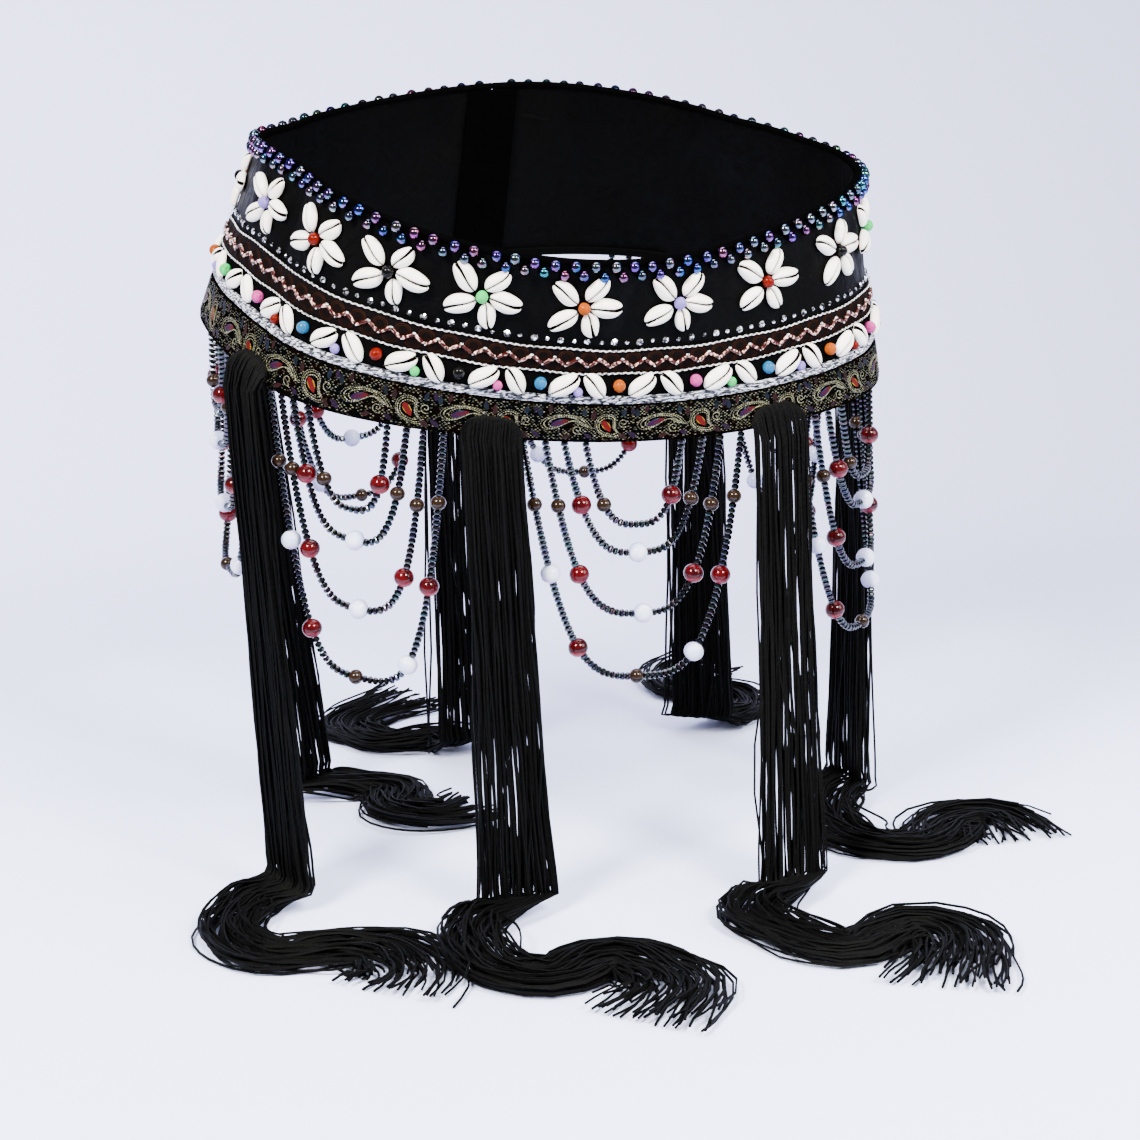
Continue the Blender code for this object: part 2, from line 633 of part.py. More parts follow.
def bead_loops(name, left_arc, right_arc):
    """Four nested strands of beads, both ends of each fused into a short tape behind the hem."""
    find, run = station_finder("hem")
    left = left_arc + TASSEL_WIDTH / 2
    right = min(right_arc - TASSEL_WIDTH / 2, run[-1] - SEAM_CLEAR)
    shift, deeper = BAY_SET.get(name, (0.0, 1.0))
    centre = (left + right) / 2 + shift
    loops = [(half * (right - left) / BAY_WIDTH, depth * deeper, beads) for half, depth, beads in LOOPS]
    inside, outside = -PANEL_THICK - GAP - TAPE_THICK, -PANEL_THICK - GAP
    foot = []
    for half, _, _ in loops:
        foot += [-half, half]
    cuts = []
    for place in sorted(foot):
        cuts += [place - STRAND_RADIUS * 0.9, place + STRAND_RADIUS * 0.9]
    ends = [cuts[0] - 0.002] + cuts + [cuts[-1] + 0.002]
    points, faces, soles = [], [], {}
    for x in ends:
        station = find(centre + x)
        low, high = 1.0 - 0.0008 / height_at(station), 1.0 - TAPE_HEIGHT / height_at(station)
        points += [on_band(station, high, inside), on_band(station, high, outside),
                   on_band(station, low, outside), on_band(station, low, inside)]
    for i in range(len(ends) - 1):
        a, b = 4 * i, 4 * i + 4
        for m, n in ((0, 1), (1, 2), (3, 0)):
            faces += [(a + m, a + n, b + n), (a + m, b + n, b + m)]
        root = i % 2 == 1
        if root:
            soles[round((ends[i] + ends[i + 1]) / 2, 6)] = (a + 2, b + 2, b + 3, a + 3)
        else:
            faces += [(a + 2, a + 3, b + 3), (a + 2, b + 3, b + 2)]
    last = 4 * (len(ends) - 1)
    faces += [(0, 3, 2, 1), (last, last + 1, last + 2, last + 3)]
    for half, depth, beads in loops:
        start, stop = soles[round(-half, 6)], soles[round(half, 6)]
        z_left = sum(points[i].z for i in start) / 4
        z_right = sum(points[i].z for i in stop) / 4
        line = loop_points(centre, half, depth, beads, find,
                           lambda u: z_left + (z_right - z_left) * (u + 1) / 2)
        rings = []
        for n in range(1, len(line) - 1):
            place, radius = line[n]
            way = (line[n + 1][0] - line[n - 1][0]).normalized()
            level = (line[-1][0] - line[0][0])
            level = Vector((level.x, level.y, 0.0)).normalized()
            out = Vector((level.y, -level.x, 0.0))
            lift = out.cross(way).normalized()
            rings.append([place + out * radius, place - lift * radius,
                          place - out * radius, place + lift * radius])
        ring = [start[i] for i in (0, 3, 2, 1)]
        for new in rings:
            number = list(range(len(points), len(points) + 4))
            points += new
            number = best_match(ring, number, points)
            faces += join_rings(ring, number)
            ring = number
        faces += join_rings(ring, best_match(ring, list(stop), points))
    return add_object("bead_loops_" + name, points, faces, "beads")


def best_match(ring, candidates, points):
    """Order of the next ring's points that lies nearest to this ring's."""
    count = len(ring)
    middle = sum((points[i] for i in ring), Vector()) / count
    target = sum((points[i] for i in candidates), Vector()) / count
    shift = target - middle
    orders = []
    for sense in (candidates, list(reversed(candidates))):
        orders += [[sense[(i + k) % count] for i in range(count)] for k in range(count)]
    return min(orders, key=lambda order: sum((points[a] + shift - points[b]).length
                                             for a, b in zip(ring, order)))


# ---------------------------------------------------------------- building
for old in list(bpy.data.objects):
    bpy.data.objects.remove(old, do_unlink=True)
COLLECTION = bpy.data.collections.new("belly_dance_hip_belt")
bpy.context.scene.collection.children.link(COLLECTION)

strip("velvet_panel", PANEL_ROWS, -PANEL_THICK, PANEL_THICK, "velvet")
top_binding()
closure_tab()
strip("brown_braid", ("braid_top", "braid_foot"), GAP, BRAID_THICK, "braid")
cowrie_ribbon()
strip("silver_ribbon", ("silver_top", "silver_foot"), GAP, SILVER_THICK, "silver")
strip("paisley_trim", ("silver_foot", "hem"), GAP, PAISLEY_THICK, "paisley")
for flower_name, flower_arc, flower_turn, _ in FLOWERS:
    flower(flower_name, flower_arc, flower_turn)
for tassel_name, tassel_arc, tassel_lay in TASSELS:
    tassel(tassel_name, tassel_arc, tassel_lay)
bays = sorted(row[1] for row in TASSELS)
hem_run = station_finder("hem")[1]
bays.append(bays[0] + hem_run[-1] - hem_run[0])
for number, (left, right) in enumerate(zip(bays, bays[1:]), start=1):
    bead_loops("b%d" % number, left, right)
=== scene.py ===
"""Looks of a belly dance hip belt: crinkled velvet, pearls, cowrie flowers, trims, tassels and bead loops."""
import math

import bpy
import numpy as np
from bpy.props import FloatProperty, FloatVectorProperty, IntProperty, PointerProperty
from mathutils import Matrix, Vector


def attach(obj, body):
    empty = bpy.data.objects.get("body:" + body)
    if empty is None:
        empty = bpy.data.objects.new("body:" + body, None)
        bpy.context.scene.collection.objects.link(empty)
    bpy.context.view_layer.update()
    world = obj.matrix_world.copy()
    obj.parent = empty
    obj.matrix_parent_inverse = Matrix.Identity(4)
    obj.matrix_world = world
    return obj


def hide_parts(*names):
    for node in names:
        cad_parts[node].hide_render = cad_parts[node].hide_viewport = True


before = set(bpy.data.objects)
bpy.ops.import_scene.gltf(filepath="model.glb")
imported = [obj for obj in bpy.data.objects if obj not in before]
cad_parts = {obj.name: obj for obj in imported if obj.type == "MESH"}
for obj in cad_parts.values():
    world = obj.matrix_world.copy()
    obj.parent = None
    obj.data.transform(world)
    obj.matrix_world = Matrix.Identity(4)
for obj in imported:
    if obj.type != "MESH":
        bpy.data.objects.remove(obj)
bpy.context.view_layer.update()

bl_info = {
    "name": "Belly dance hip belt",
    "version": (1, 0, 0),
    "blender": (4, 5, 0),
    "location": "3D View > Sidebar > Hip belt",
    "description": "Builds the cloth, trims, cowries, beads and tassels of a hip belt",
    "category": "Object",
}

# -------- sizes of the belt, metres
GAP = 0.0003
TOP_HALF_WIDTH, TOP_HALF_DEPTH = 0.1643, 0.1197
HEM_HALF_WIDTH, HEM_HALF_DEPTH = 0.1857, 0.1277
HEM_CENTRE = (-0.007, 0.0226, -0.1008)
SEAM = 0.0008
PANEL_THICK = 0.0024
RIBBON_FACE = 0.0015            # outer face of each strip that lies on the velvet
BRAID_FACE = 0.0017
SILVER_FACE = 0.0017
PAISLEY_FACE = 0.0019
TAB_THICK, TAB_HALF_WIDTH, TAB_MARGIN = 0.0018, 0.014, 0.06
BINDING_PROUD = 0.0009
FLOOR = -0.3795

WAVES = (
    # edge, what, order, cosine, sine
    ("top", "height", 1, -0.0318, -0.0092),
    ("top", "height", 2, -0.0035, -0.0011),
    ("top", "height", 3, -0.0055, 0.0031),
    ("top", "radius", 2, 0.0, 0.0036),
    ("top", "radius", 3, 0.0128, -0.0391),
    ("top", "radius", 4, -0.0247, 0.0),
    ("hem", "height", 1, -0.0320, -0.0106),
    ("hem", "height", 2, -0.0012, -0.0017),
    ("hem", "height", 3, -0.0010, 0.0023),
    ("hem", "height", 4, -0.0007, -0.0010),
    ("hem", "radius", 2, 0.0, 0.0285),
    ("hem", "radius", 3, 0.0027, 0.0220),
    ("hem", "radius", 4, -0.0612, 0.0),
)
FOLDS = (
    # degrees from the front centre, degrees wide, how far out at the top, at the hem
    (-92.0, 7.0, 0.0030, 0.0008),
    (-71.0, 6.0, -0.0032, -0.0012),
    (96.0, 8.0, 0.0018, 0.0006),
    (128.0, 7.0, -0.0020, -0.0010),
    (-134.0, 7.0, -0.0022, -0.0010),
)
ROWS = {
    # name: (share of the height, lean towards +X)
    "top": (0.0, 0.0),
    "rim": (0.033, 0.0),
    "crown": (0.25, 0.0),
    "braid_top": (0.484, 0.042),
    "braid_foot": (0.611, 0.027),
    "silver_top": (0.735, 0.022),
    "silver_foot": (0.785, 0.020),
    "hem": (1.0, 0.0),
}
CREASES = (
    # arc from the front centre, half width, depth, lean, share where it starts, where it ends
    (-0.4790, 0.0050, 0.0012, 0.10, 0.05, 0.44), (-0.4620, 0.0035, -0.0006, -0.2, 0.12, 0.40),
    (-0.4120, 0.0044, 0.0011, 0.22, 0.02, 0.34), (-0.3580, 0.0038, 0.0008, -0.1, 0.14, 0.46),
    (-0.3040, 0.0052, 0.0014, 0.15, 0.04, 0.42), (-0.2960, 0.0030, -0.0007, 0.3, 0.10, 0.36),
    (-0.2490, 0.0040, 0.0010, -0.2, 0.06, 0.38), (-0.1985, 0.0060, 0.0019, 0.18, 0.03, 0.47),
    (-0.1925, 0.0028, -0.0010, 0.10, 0.10, 0.43), (-0.1490, 0.0040, 0.0009, -0.25, 0.05, 0.33),
    (-0.1035, 0.0046, 0.0011, 0.12, 0.13, 0.46), (-0.0990, 0.0022, -0.0005, 0.2, 0.16, 0.40),
    (-0.0545, 0.0038, 0.0008, -0.15, 0.04, 0.30), (-0.0040, 0.0048, 0.0010, 0.20, 0.10, 0.45),
    (0.0470, 0.0036, 0.0008, -0.20, 0.15, 0.44), (0.0520, 0.0024, -0.0005, 0.1, 0.06, 0.30),
    (0.1020, 0.0050, 0.0012, 0.16, 0.04, 0.38), (0.1530, 0.0042, 0.0013, -0.12, 0.08, 0.46),
    (0.1580, 0.0026, -0.0007, 0.2, 0.12, 0.40), (0.2030, 0.0052, 0.0014, 0.2, 0.03, 0.44),
    (0.2570, 0.0036, 0.0009, -0.3, 0.10, 0.36), (0.3120, 0.0048, 0.0012, 0.1, 0.05, 0.46),
    (0.3170, 0.0028, -0.0006, 0.2, 0.14, 0.38), (0.3660, 0.0040, 0.0010, -0.2, 0.02, 0.33),
    (0.4200, 0.0050, 0.0012, 0.15, 0.08, 0.42), (0.4730, 0.0040, 0.0009, -0.1, 0.04, 0.45),
)

FLOWERS = (
    # name, arc from the front centre, turn in degrees, bead
    ("f01", -0.222, 8, "purple"), ("f02", -0.171, -6, "red"), ("f03", -0.127, 4, "black"),
    ("f04", -0.080, 0, "mint"), ("f05", -0.029, 6, "orange"), ("f06", 0.022, -4, "purple"),
    ("f07", 0.074, 3, "red"), ("f08", 0.130, 10, "black"), ("f09", 0.176, -5, "mint"),
    ("f10", 0.230, 0, "orange"), ("f11", 0.285, 7, "purple"), ("f12", 0.339, -3, "red"),
    ("f13", 0.393, 5, "black"), ("f14", 0.4465, -7, "mint"), ("f15", -0.4405, 2, "orange"),
    ("f16", -0.391, 6, "purple"), ("f17", -0.343, -4, "red"), ("f18", -0.292, 5, "black"),
)
PETALS = (
    # direction in degrees from the band's length, reach of the tip from the flower's middle
    (140, 0.0208), (52, 0.0190), (-6, 0.0216), (-68, 0.0176), (-148, 0.0212),
)
BEAD_COLOURS = {
    # opaque glossy beads, linear colour
    "purple": (0.135, 0.098, 0.300), "red": (0.075, 0.0018, 0.0001), "black": (0.0014, 0.0014, 0.0014),
    "mint": (0.012, 0.300, 0.062), "orange": (0.190, 0.035, 0.0001), "pink": (0.270, 0.026, 0.130),
    "blue": (0.006, 0.068, 0.150),
    # loop beads
    "clear_red": (0.050, 0.0006, 0.0016), "milky": (0.62, 0.63, 0.72), "brown": (0.0115, 0.0052, 0.0022),
}
ZIGZAG_PITCH, ZIGZAG_RISE = 0.0117, 0.0019
SHELL_TEETH = 15
PAIR_COUNT, FIRST_PAIR_BEAD = 24, -0.006
RIBBON_BEADS = (
    # along the ribbon from the slit towards +X: the bead between pairs, the small bead inside the next pair
    ("orange", "mint"), ("black", "purple"), ("red", "pink"), ("blue", "red"), ("pink", "mint"),
    ("orange", "purple"), ("mint", None), ("pink", "red"), ("blue", "purple"), ("red", "mint"),
    ("black", "pink"), ("blue", "purple"), ("orange", None), ("pink", "mint"), ("blue", "purple"),
    ("orange", "red"), ("pink", "mint"), ("blue", "pink"), ("black", "purple"), ("red", "mint"),
    ("blue", "red"), ("pink", None), ("mint", "purple"), ("orange", "pink"),
)

TASSELS = (
    # name, arc at the hem, lay on the floor: where it lands, then steps, (towards +X, towards the front)
    ("t1", -0.206, ((0.004, 0.016), (-0.022, 0.026), (-0.038, 0.056), (-0.026, 0.09), (0.008, 0.096),
                    (0.031, 0.112), (0.032, 0.142), (0.014, 0.162))),
    ("t2", -0.0685, ((0.002, 0.008), (-0.019, 0.0146), (-0.0336, 0.0354), (-0.033, 0.075), (-0.01, 0.097),
                     (0.0205, 0.086), (0.0355, 0.1035), (0.0375, 0.134), (0.006, 0.164))),
    ("t3", 0.0848, ((-0.012, 0.034), (-0.0366, 0.0457), (-0.0475, 0.062), (-0.0393, 0.087), (-0.0204, 0.118),
                    (0.003, 0.1106), (0.0246, 0.1034), (0.033, 0.13), (0.0, 0.18))),
    ("t4", 0.239, ((-0.012, 0.012), (-0.042, 0.048), (-0.044, 0.09), (-0.014, 0.112), (0.016, 0.088),
                   (0.038, 0.094), (0.034, 0.132))),
    ("t5", 0.38, ((0.0, 0.0), (0.03, -0.014), (0.044, -0.052), (0.02, -0.082), (0.032, -0.118),
                  (0.066, -0.134))),
    ("t6", -0.49, ((0.0, 0.0), (-0.012, -0.028), (-0.044, -0.044), (-0.056, -0.084), (-0.026, -0.11),
                   (0.01, -0.13))),
    ("t7", -0.36, ((0.02, 0.004), (0.044, 0.006), (0.068, 0.022), (0.062, 0.054), (0.084, 0.074),
                   (0.112, 0.068))),
)
TASSEL_LIFT, TASSEL_WIDTH = 0.0012, 0.030
HEAD_RISE, HEAD_DROP, PAD_THICK = 0.0125, 0.006, 0.0003
BAY_WIDTH, SEAM_CLEAR, TAPE_THICK, TAPE_HEIGHT = 0.124, 0.004, 0.0022, 0.0050
SAG_POWER = 3.5
BAY_SET = {"b3": (-0.0068, 1.08)}       # shift along the hem and depth factor of a bay that hangs off the rest
LOOPS = (
    # half width at the roots, depth, beads from -X to +X: (share across, radius, colour)
    (0.0265, 0.0470, ((-0.66, 0.0040, "brown"), (0.72, 0.0053, "clear_red"))),
    (0.038, 0.0625, ((-0.78, 0.0053, "clear_red"), (0.02, 0.0053, "milky"), (0.79, 0.0040, "brown"))),
    (0.048, 0.096, ((-0.87, 0.0040, "brown"), (-0.66, 0.0053, "clear_red"), (0.04, 0.0053, "milky"),
                    (0.64, 0.0053, "clear_red"), (0.86, 0.0040, "brown"))),
    (0.060, 0.131, ((-0.91, 0.0040, "brown"), (-0.79, 0.0053, "milky"), (-0.56, 0.0053, "clear_red"),
                    (-0.05, 0.0040, "brown"), (0.50, 0.0053, "milky"), (0.77, 0.0053, "clear_red"),
                    (0.91, 0.0040, "brown"))),
)


# -------- the belt's surface
def wave(edge, what, angle):
    rows = [row for row in WAVES if row[0] == edge and row[1] == what]
    return sum(c * np.cos(n * angle) + s * np.sin(n * angle) for _, _, n, c, s in rows)


def edge_line(edge, angle):
    """Points of the top or the hem edge, before the folds."""
    wide, deep = (TOP_HALF_WIDTH, TOP_HALF_DEPTH) if edge == "top" else (HEM_HALF_WIDTH, HEM_HALF_DEPTH)
    centre = (0.0, 0.0, 0.0) if edge == "top" else HEM_CENTRE
    radius = 1.0 + wave(edge, "radius", angle)
    return np.stack([centre[0] + wide * np.sin(angle) * radius,
                     centre[1] - deep * np.cos(angle) * radius,
                     centre[2] + wave(edge, "height", angle)], axis=1)


def unit(rows):
    return rows / np.linalg.norm(rows, axis=1, keepdims=True)


ANGLES = np.linspace(-math.pi, math.pi, 4321)


def surface_tables():
    """Top edge, hem edge and outward normal at every angle, folds included."""
    step = 0.02
    middle = [edge_line("top", ANGLES + s) + edge_line("hem", ANGLES + s) for s in (-step, step)]
    top, hem = edge_line("top", ANGLES), edge_line("hem", ANGLES)
    normal = unit(np.cross(middle[1] - middle[0], top - hem))
    for degrees, wide, at_top, at_hem in FOLDS:
        push = np.exp(-((np.degrees(ANGLES) - degrees) / wide) ** 2)[:, None] * normal
        top, hem = top + push * at_top, hem + push * at_hem
    return top, hem, normal


TOP, HEM, NORMAL = surface_tables()
HEIGHT = np.linalg.norm(TOP - HEM, axis=1)


def row_share(row, angle):
    share, lean = ROWS[row]
    return share + lean * np.sin(angle)


def row_run(row):
    """Arc along a row at every angle, from the front centre."""
    share = row_share(row, ANGLES)[:, None]
    line = TOP + (HEM - TOP) * share
    run = np.concatenate(([0.0], np.cumsum(np.linalg.norm(np.diff(line, axis=0), axis=1))))
    return run - np.interp(0.0, ANGLES, run)


RUNS = {row: row_run(row) for row in ROWS}


def at_angles(table, angle):
    return np.stack([np.interp(angle, ANGLES, table[:, i]) for i in range(3)], axis=1)


def on_band(flat, row, other=None):
    """Flat points (along a row, up, out) laid on the belt.

    Up is in metres above the row, or, where another row is given, the share of the way to it.
    """
    flat = np.asarray(flat, dtype=float).reshape(-1, 3)
    angle = np.interp(flat[:, 0], RUNS[row], ANGLES)
    share = row_share(row, angle)
    if other:
        share = share + (row_share(other, angle) - share) * flat[:, 1]
    else:
        share = share - flat[:, 1] / np.interp(angle, ANGLES, HEIGHT)
    top, hem, normal = (at_angles(table, angle) for table in (TOP, HEM, NORMAL))
    return top + (hem - top) * share[:, None] + normal * flat[:, 2:3]


def frames_on_band(flat, row, turns=None):
    """Places on the belt with their (along, up, out) directions, turned in the surface by some angles."""
    flat = np.asarray(flat, dtype=float).reshape(-1, 3)
    step = np.array([0.0015, 0.0, 0.0])
    place = on_band(flat, row)
    along = unit(on_band(flat + step, row) - on_band(flat - step, row))
    raised = on_band(flat + (0.0, 0.002, 0.0), row) - place
    out = unit(np.cross(along, raised))
    up = np.cross(out, along)
    if turns is not None:
        c, s = np.cos(turns)[:, None], np.sin(turns)[:, None]
        along, up = along * c + up * s, up * c - along * s
    return place, np.stack([along, up, out], axis=2)


def tall_at(upper, lower, row, arcs):
    """Height between two rows at arcs along a row."""
    angle = np.interp(arcs, RUNS[row], ANGLES)
    return (row_share(lower, angle) - row_share(upper, angle)) * np.interp(angle, ANGLES, HEIGHT)


def run_ends(row, clear=0.0):
    half = SEAM / 2 + clear
    return RUNS[row][0] + half, RUNS[row][-1] - half


# -------- modelling tools
def deselect():
    bpy.ops.object.select_all(action="DESELECT")


def select_only(piece):
    deselect()
    piece.select_set(True)
    bpy.context.view_layer.objects.active = piece


def add_object(name, data):
    made = bpy.data.objects.new(name, data)
    bpy.context.scene.collection.objects.link(made)
    return made


def finish_mesh(piece, name, smooth=40.0):
    """Name, normals outwards and smooth shading for a piece that is otherwise done."""
    piece.name = name
    piece.data.name = name
    select_only(piece)
    bpy.ops.object.shade_smooth_by_angle(angle=math.radians(smooth))
    return piece


def edit(piece, *steps):
    """Run edit-mode steps on all of a mesh."""
    select_only(piece)
    bpy.ops.object.mode_set(mode="EDIT")
    bpy.ops.mesh.select_all(action="SELECT")
    for step, words in steps:
        step(**words)
    bpy.ops.object.mode_set(mode="OBJECT")


def seal(piece, threshold, fill=True):
    """Merge doubled points, close open ends where asked, and turn the faces outwards."""
    steps = [(bpy.ops.mesh.remove_doubles, {"threshold": threshold})]
    if fill:
        steps.append((bpy.ops.mesh.fill_holes, {"sides": 0}))
    edit(piece, *steps, (bpy.ops.mesh.normals_make_consistent, {"inside": False}))


def modify(piece, kind, **settings):
    """Add a modifier with its settings and apply it."""
    select_only(piece)
    bpy.ops.object.modifier_add(type=kind)
    modifier = piece.modifiers[-1]
    for word, value in settings.items():
        setattr(modifier, word, value)
    bpy.ops.object.modifier_apply(modifier=modifier.name)


def thicken(piece, thickness):
    """Give a cloth its thickness, inwards from its face."""
    modify(piece, "SOLIDIFY", thickness=thickness, offset=-1.0)


def drop_uv(piece):
    while piece.data.uv_layers:
        piece.data.uv_layers.remove(piece.data.uv_layers[0])


def coordinates(piece):
    flat = np.empty(len(piece.data.vertices) * 3)
    piece.data.vertices.foreach_get("co", flat)
    return flat.reshape(-1, 3)


def set_coordinates(piece, points):
    piece.data.vertices.foreach_set("co", np.asarray(points, dtype=float).ravel())
    piece.data.update()


def scale_uv(piece, wide, high):
    """Texture coordinates of a grid in metres along and up the cloth."""
    layer = piece.data.uv_layers[0]
    flat = np.empty(len(layer.data) * 2)
    layer.data.foreach_get("uv", flat)
    flat = flat.reshape(-1, 2) * (wide, high)
    layer.data.foreach_set("uv", flat.ravel())


def grid(name, columns, rows):
    """Grid of unit size, its points as shares across and up."""
    deselect()
    bpy.ops.mesh.primitive_grid_add(x_subdivisions=columns, y_subdivisions=rows, size=1.0)
    piece = bpy.context.active_object
    piece.name = name
    return piece, coordinates(piece)[:, :2] + 0.5


def long_strip(name, columns, section, start, stop, row, other=None):
    """Closed strip along the belt; its section is a loop of (up, out) points."""
    piece, share = grid(name, columns, len(section))
    loop = np.array(list(section) + [section[0]])
    lap = np.linspace(0.0, 1.0, len(loop))
    flat = np.stack([start + (stop - start) * share[:, 0], np.interp(share[:, 1], lap, loop[:, 0]),
                     np.interp(share[:, 1], lap, loop[:, 1])], axis=1)
    set_coordinates(piece, on_band(flat, row, other))
    round_it = np.linalg.norm(np.diff(loop * (1.0 if other is None else 0.02, 1.0), axis=0), axis=1).sum()
    scale_uv(piece, stop - start, round_it)
    seal(piece, 1e-6)
    return piece


def cloth_section(up_from, up_to, back, face, edge, across, relief=None):
    """Loop round a thin cloth strip: face with softened edges, flat back."""
    ups = np.linspace(up_from, up_to, across)
    rounded = edge * (up_to - up_from)
    outs = [face - 0.0005 * max(0.0, 1 - min(u - up_from, up_to - u) / rounded) ** 2 for u in ups]
    if relief:
        outs = [out + relief(u) for u, out in zip(ups, outs)]
    return list(zip(ups, outs)) + [(up_to, back), (up_from, back)]


def pattern_of(piece, remove=True):
    """Arrays of a modelled piece, for copying it many times."""
    mesh = piece.data
    loops = np.empty(len(mesh.loops), dtype=np.int32)
    mesh.loops.foreach_get("vertex_index", loops)
    totals = np.empty(len(mesh.polygons), dtype=np.int32)
    mesh.polygons.foreach_get("loop_total", totals)
    uv = None
    if mesh.uv_layers:
        uv = np.empty(len(mesh.loops) * 2)
        mesh.uv_layers[0].data.foreach_get("uv", uv)
        uv = uv.reshape(-1, 2)
    found = {"points": coordinates(piece), "loops": loops, "totals": totals, "uv": uv}
    if remove:
        bpy.data.objects.remove(piece, do_unlink=True)
    return found


def joined(name, pattern, copies, tones=None, smooth=40.0, local=None):
    """One mesh of many copies; copies is (count, points, 3), tones a colour for each copy.

    Local is a second colour for each point: where it lies on its own copy.
    """
    copies = np.asarray(copies)
    count, each = copies.shape[0], copies.shape[1]
    loops = (pattern["loops"][None, :] + (np.arange(count) * each)[:, None]).ravel()
    totals = np.tile(pattern["totals"], count)
    mesh = bpy.data.meshes.new(name)
    mesh.vertices.add(count * each)
    mesh.vertices.foreach_set("co", copies.ravel())
    mesh.loops.add(len(loops))
    mesh.loops.foreach_set("vertex_index", loops.astype(np.int32))
    mesh.polygons.add(len(totals))
    mesh.polygons.foreach_set("loop_start", np.concatenate(([0], np.cumsum(totals)[:-1])).astype(np.int32))
    mesh.polygons.foreach_set("loop_total", totals.astype(np.int32))
    mesh.update(calc_edges=True)
    if pattern["uv"] is not None:
        layer = mesh.uv_layers.new(name="UVMap")
        layer.data.foreach_set("uv", np.tile(pattern["uv"], (count, 1)).ravel())
    for word, colours in (("tone", tones), ("local", local)):
        if colours is not None:
            layer = mesh.color_attributes.new(name=word, type="FLOAT_COLOR", domain="POINT")
            rgba = np.ones((count, each, 4))
            rgba[:, :, :3] = np.asarray(colours, dtype=float)
            layer.data.foreach_set("color", rgba.ravel())
    return finish_mesh(add_object(name, mesh), name, smooth)


def set_copies(pattern, places, turns, scales=None):
    """Copies of a pattern's points at places, each with its own directions and size."""
    points = pattern["points"]
    if scales is not None:
        scales = np.asarray(scales, dtype=float)
        scales = scales.reshape(len(places), 1, -1)
        points = points[None, :, :] * scales
    else:
        points = np.repeat(points[None, :, :], len(places), axis=0)
    return np.einsum("nij,nkj->nki", turns, points) + np.asarray(places)[:, None, :]


def dress(piece, finish):
    piece.data.materials.clear()
    piece.data.materials.append(FINISH[finish])


def place_on_belt(piece, finish, replaced=None):
    """Give a piece its material, hang it from the root body, and hide the CAD node that it stands for."""
    dress(piece, finish)
    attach(piece, "root")
    if replaced:
        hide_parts(replaced)


def add_line(curve, points, closed=False):
    spline = curve.splines.new("POLY")
    spline.points.add(len(points) - 1)
    spline.points.foreach_set("co", np.column_stack([points, np.ones(len(points))]).ravel())
    spline.use_cyclic_u = closed


def mesh_of(curve):
    """Turn a curve into a mesh piece."""
    select_only(add_object(curve.name, curve))
    bpy.ops.object.convert(target="MESH")
    return bpy.context.active_object


def curves_to_mesh(name, lines, radius):
    """Tubes of one radius along many lines, modelled as a bevelled curve and made a mesh."""
    curve = bpy.data.curves.new(name, "CURVE")
    curve.dimensions = "3D"
    curve.bevel_depth = radius
    curve.bevel_resolution = 0
    curve.use_fill_caps = True
    for line in lines:
        add_line(curve, line)
    return finish_mesh(mesh_of(curve), name, 60.0)


def stretch_points(a, b, c, d, steps):
    """Points from b towards c of a smooth curve through four controls."""
    return [0.5 * (2 * b + (c - a) * u + (2 * a - 5 * b + 4 * c - d) * u * u + (3 * b - a - 3 * c + d) * u ** 3)
            for u in np.arange(steps) / steps]


def smooth_line(controls, steps):
    """Smooth curve through control points, evenly stepped in each stretch."""
    controls = np.asarray(controls, dtype=float)
    padded = np.vstack([2 * controls[0] - controls[1], controls, 2 * controls[-1] - controls[-2]])
    path = []
    for i in range(1, len(padded) - 2):
        path += stretch_points(*padded[i - 1:i + 3], steps)
    path.append(padded[-2])
    return np.array(path)


def run_along(line):
    return np.concatenate(([0.0], np.cumsum(np.linalg.norm(np.diff(line, axis=0), axis=1))))


def at_runs(line, runs):
    along = run_along(line)
    return np.stack([np.interp(runs, along, line[:, i]) for i in range(3)], axis=1)


def plies(line, ply_offset, pitch, points_per_turn):
    """Lines of two yarns twisted round a path."""
    along = run_along(line)
    runs = np.linspace(0.0, along[-1], max(4, int(along[-1] / pitch * points_per_turn)))
    middle = at_runs(line, runs)
    way = unit(np.gradient(middle, axis=0))
    side = unit(np.cross(way, np.array([0.0, 0.0, 1.0]) + 0.001))
    lift = np.cross(side, way)
    found = []
    for start in (0.0, 0.5):
        turn = (2 * math.pi * (runs / pitch + start))[:, None]
        found.append(middle + (side * np.cos(turn) + lift * np.sin(turn)) * ply_offset)
    return found


# -------- finishes
def node(tree, kind, links=None, **settings):
    """Shader node with its settings, fixed socket values and links made."""
    made = tree.nodes.new(kind)
    for word, value in settings.items():
        setattr(made, word, value)
    for socket, value in (links or {}).items():
        target = made.inputs[socket]
        if isinstance(value, bpy.types.NodeSocket):
            tree.links.new(value, target)
        else:
            target.default_value = value
    return made


def calc(tree, operation, first, second=None, third=None):
    links = {0: first}
    if second is not None:
        links[1] = second
    if third is not None:
        links[2] = third
    return node(tree, "ShaderNodeMath", links, operation=operation).outputs[0]


def channels(tree, colour):
    return node(tree, "ShaderNodeSeparateColor", {0: colour}).outputs


def times(tree, first, second):
    return calc(tree, "MULTIPLY", first, second)


def mix_colour(tree, share, first, second, blend="MIX"):
    made = node(tree, "ShaderNodeMix", None, data_type="RGBA", blend_type=blend)
    for place, value in ((0, share), (6, first), (7, second)):
        if isinstance(value, bpy.types.NodeSocket):
            tree.links.new(value, made.inputs[place])
        elif place:
            made.inputs[place].default_value = (*value[:3], 1.0)
        else:
            made.inputs[place].default_value = value
    return made.outputs[2]


def remap(tree, value, low, high, to_low=0.0, to_high=1.0):
    return node(tree, "ShaderNodeMapRange", {0: value, 1: low, 2: high, 3: to_low, 4: to_high}).outputs[0]


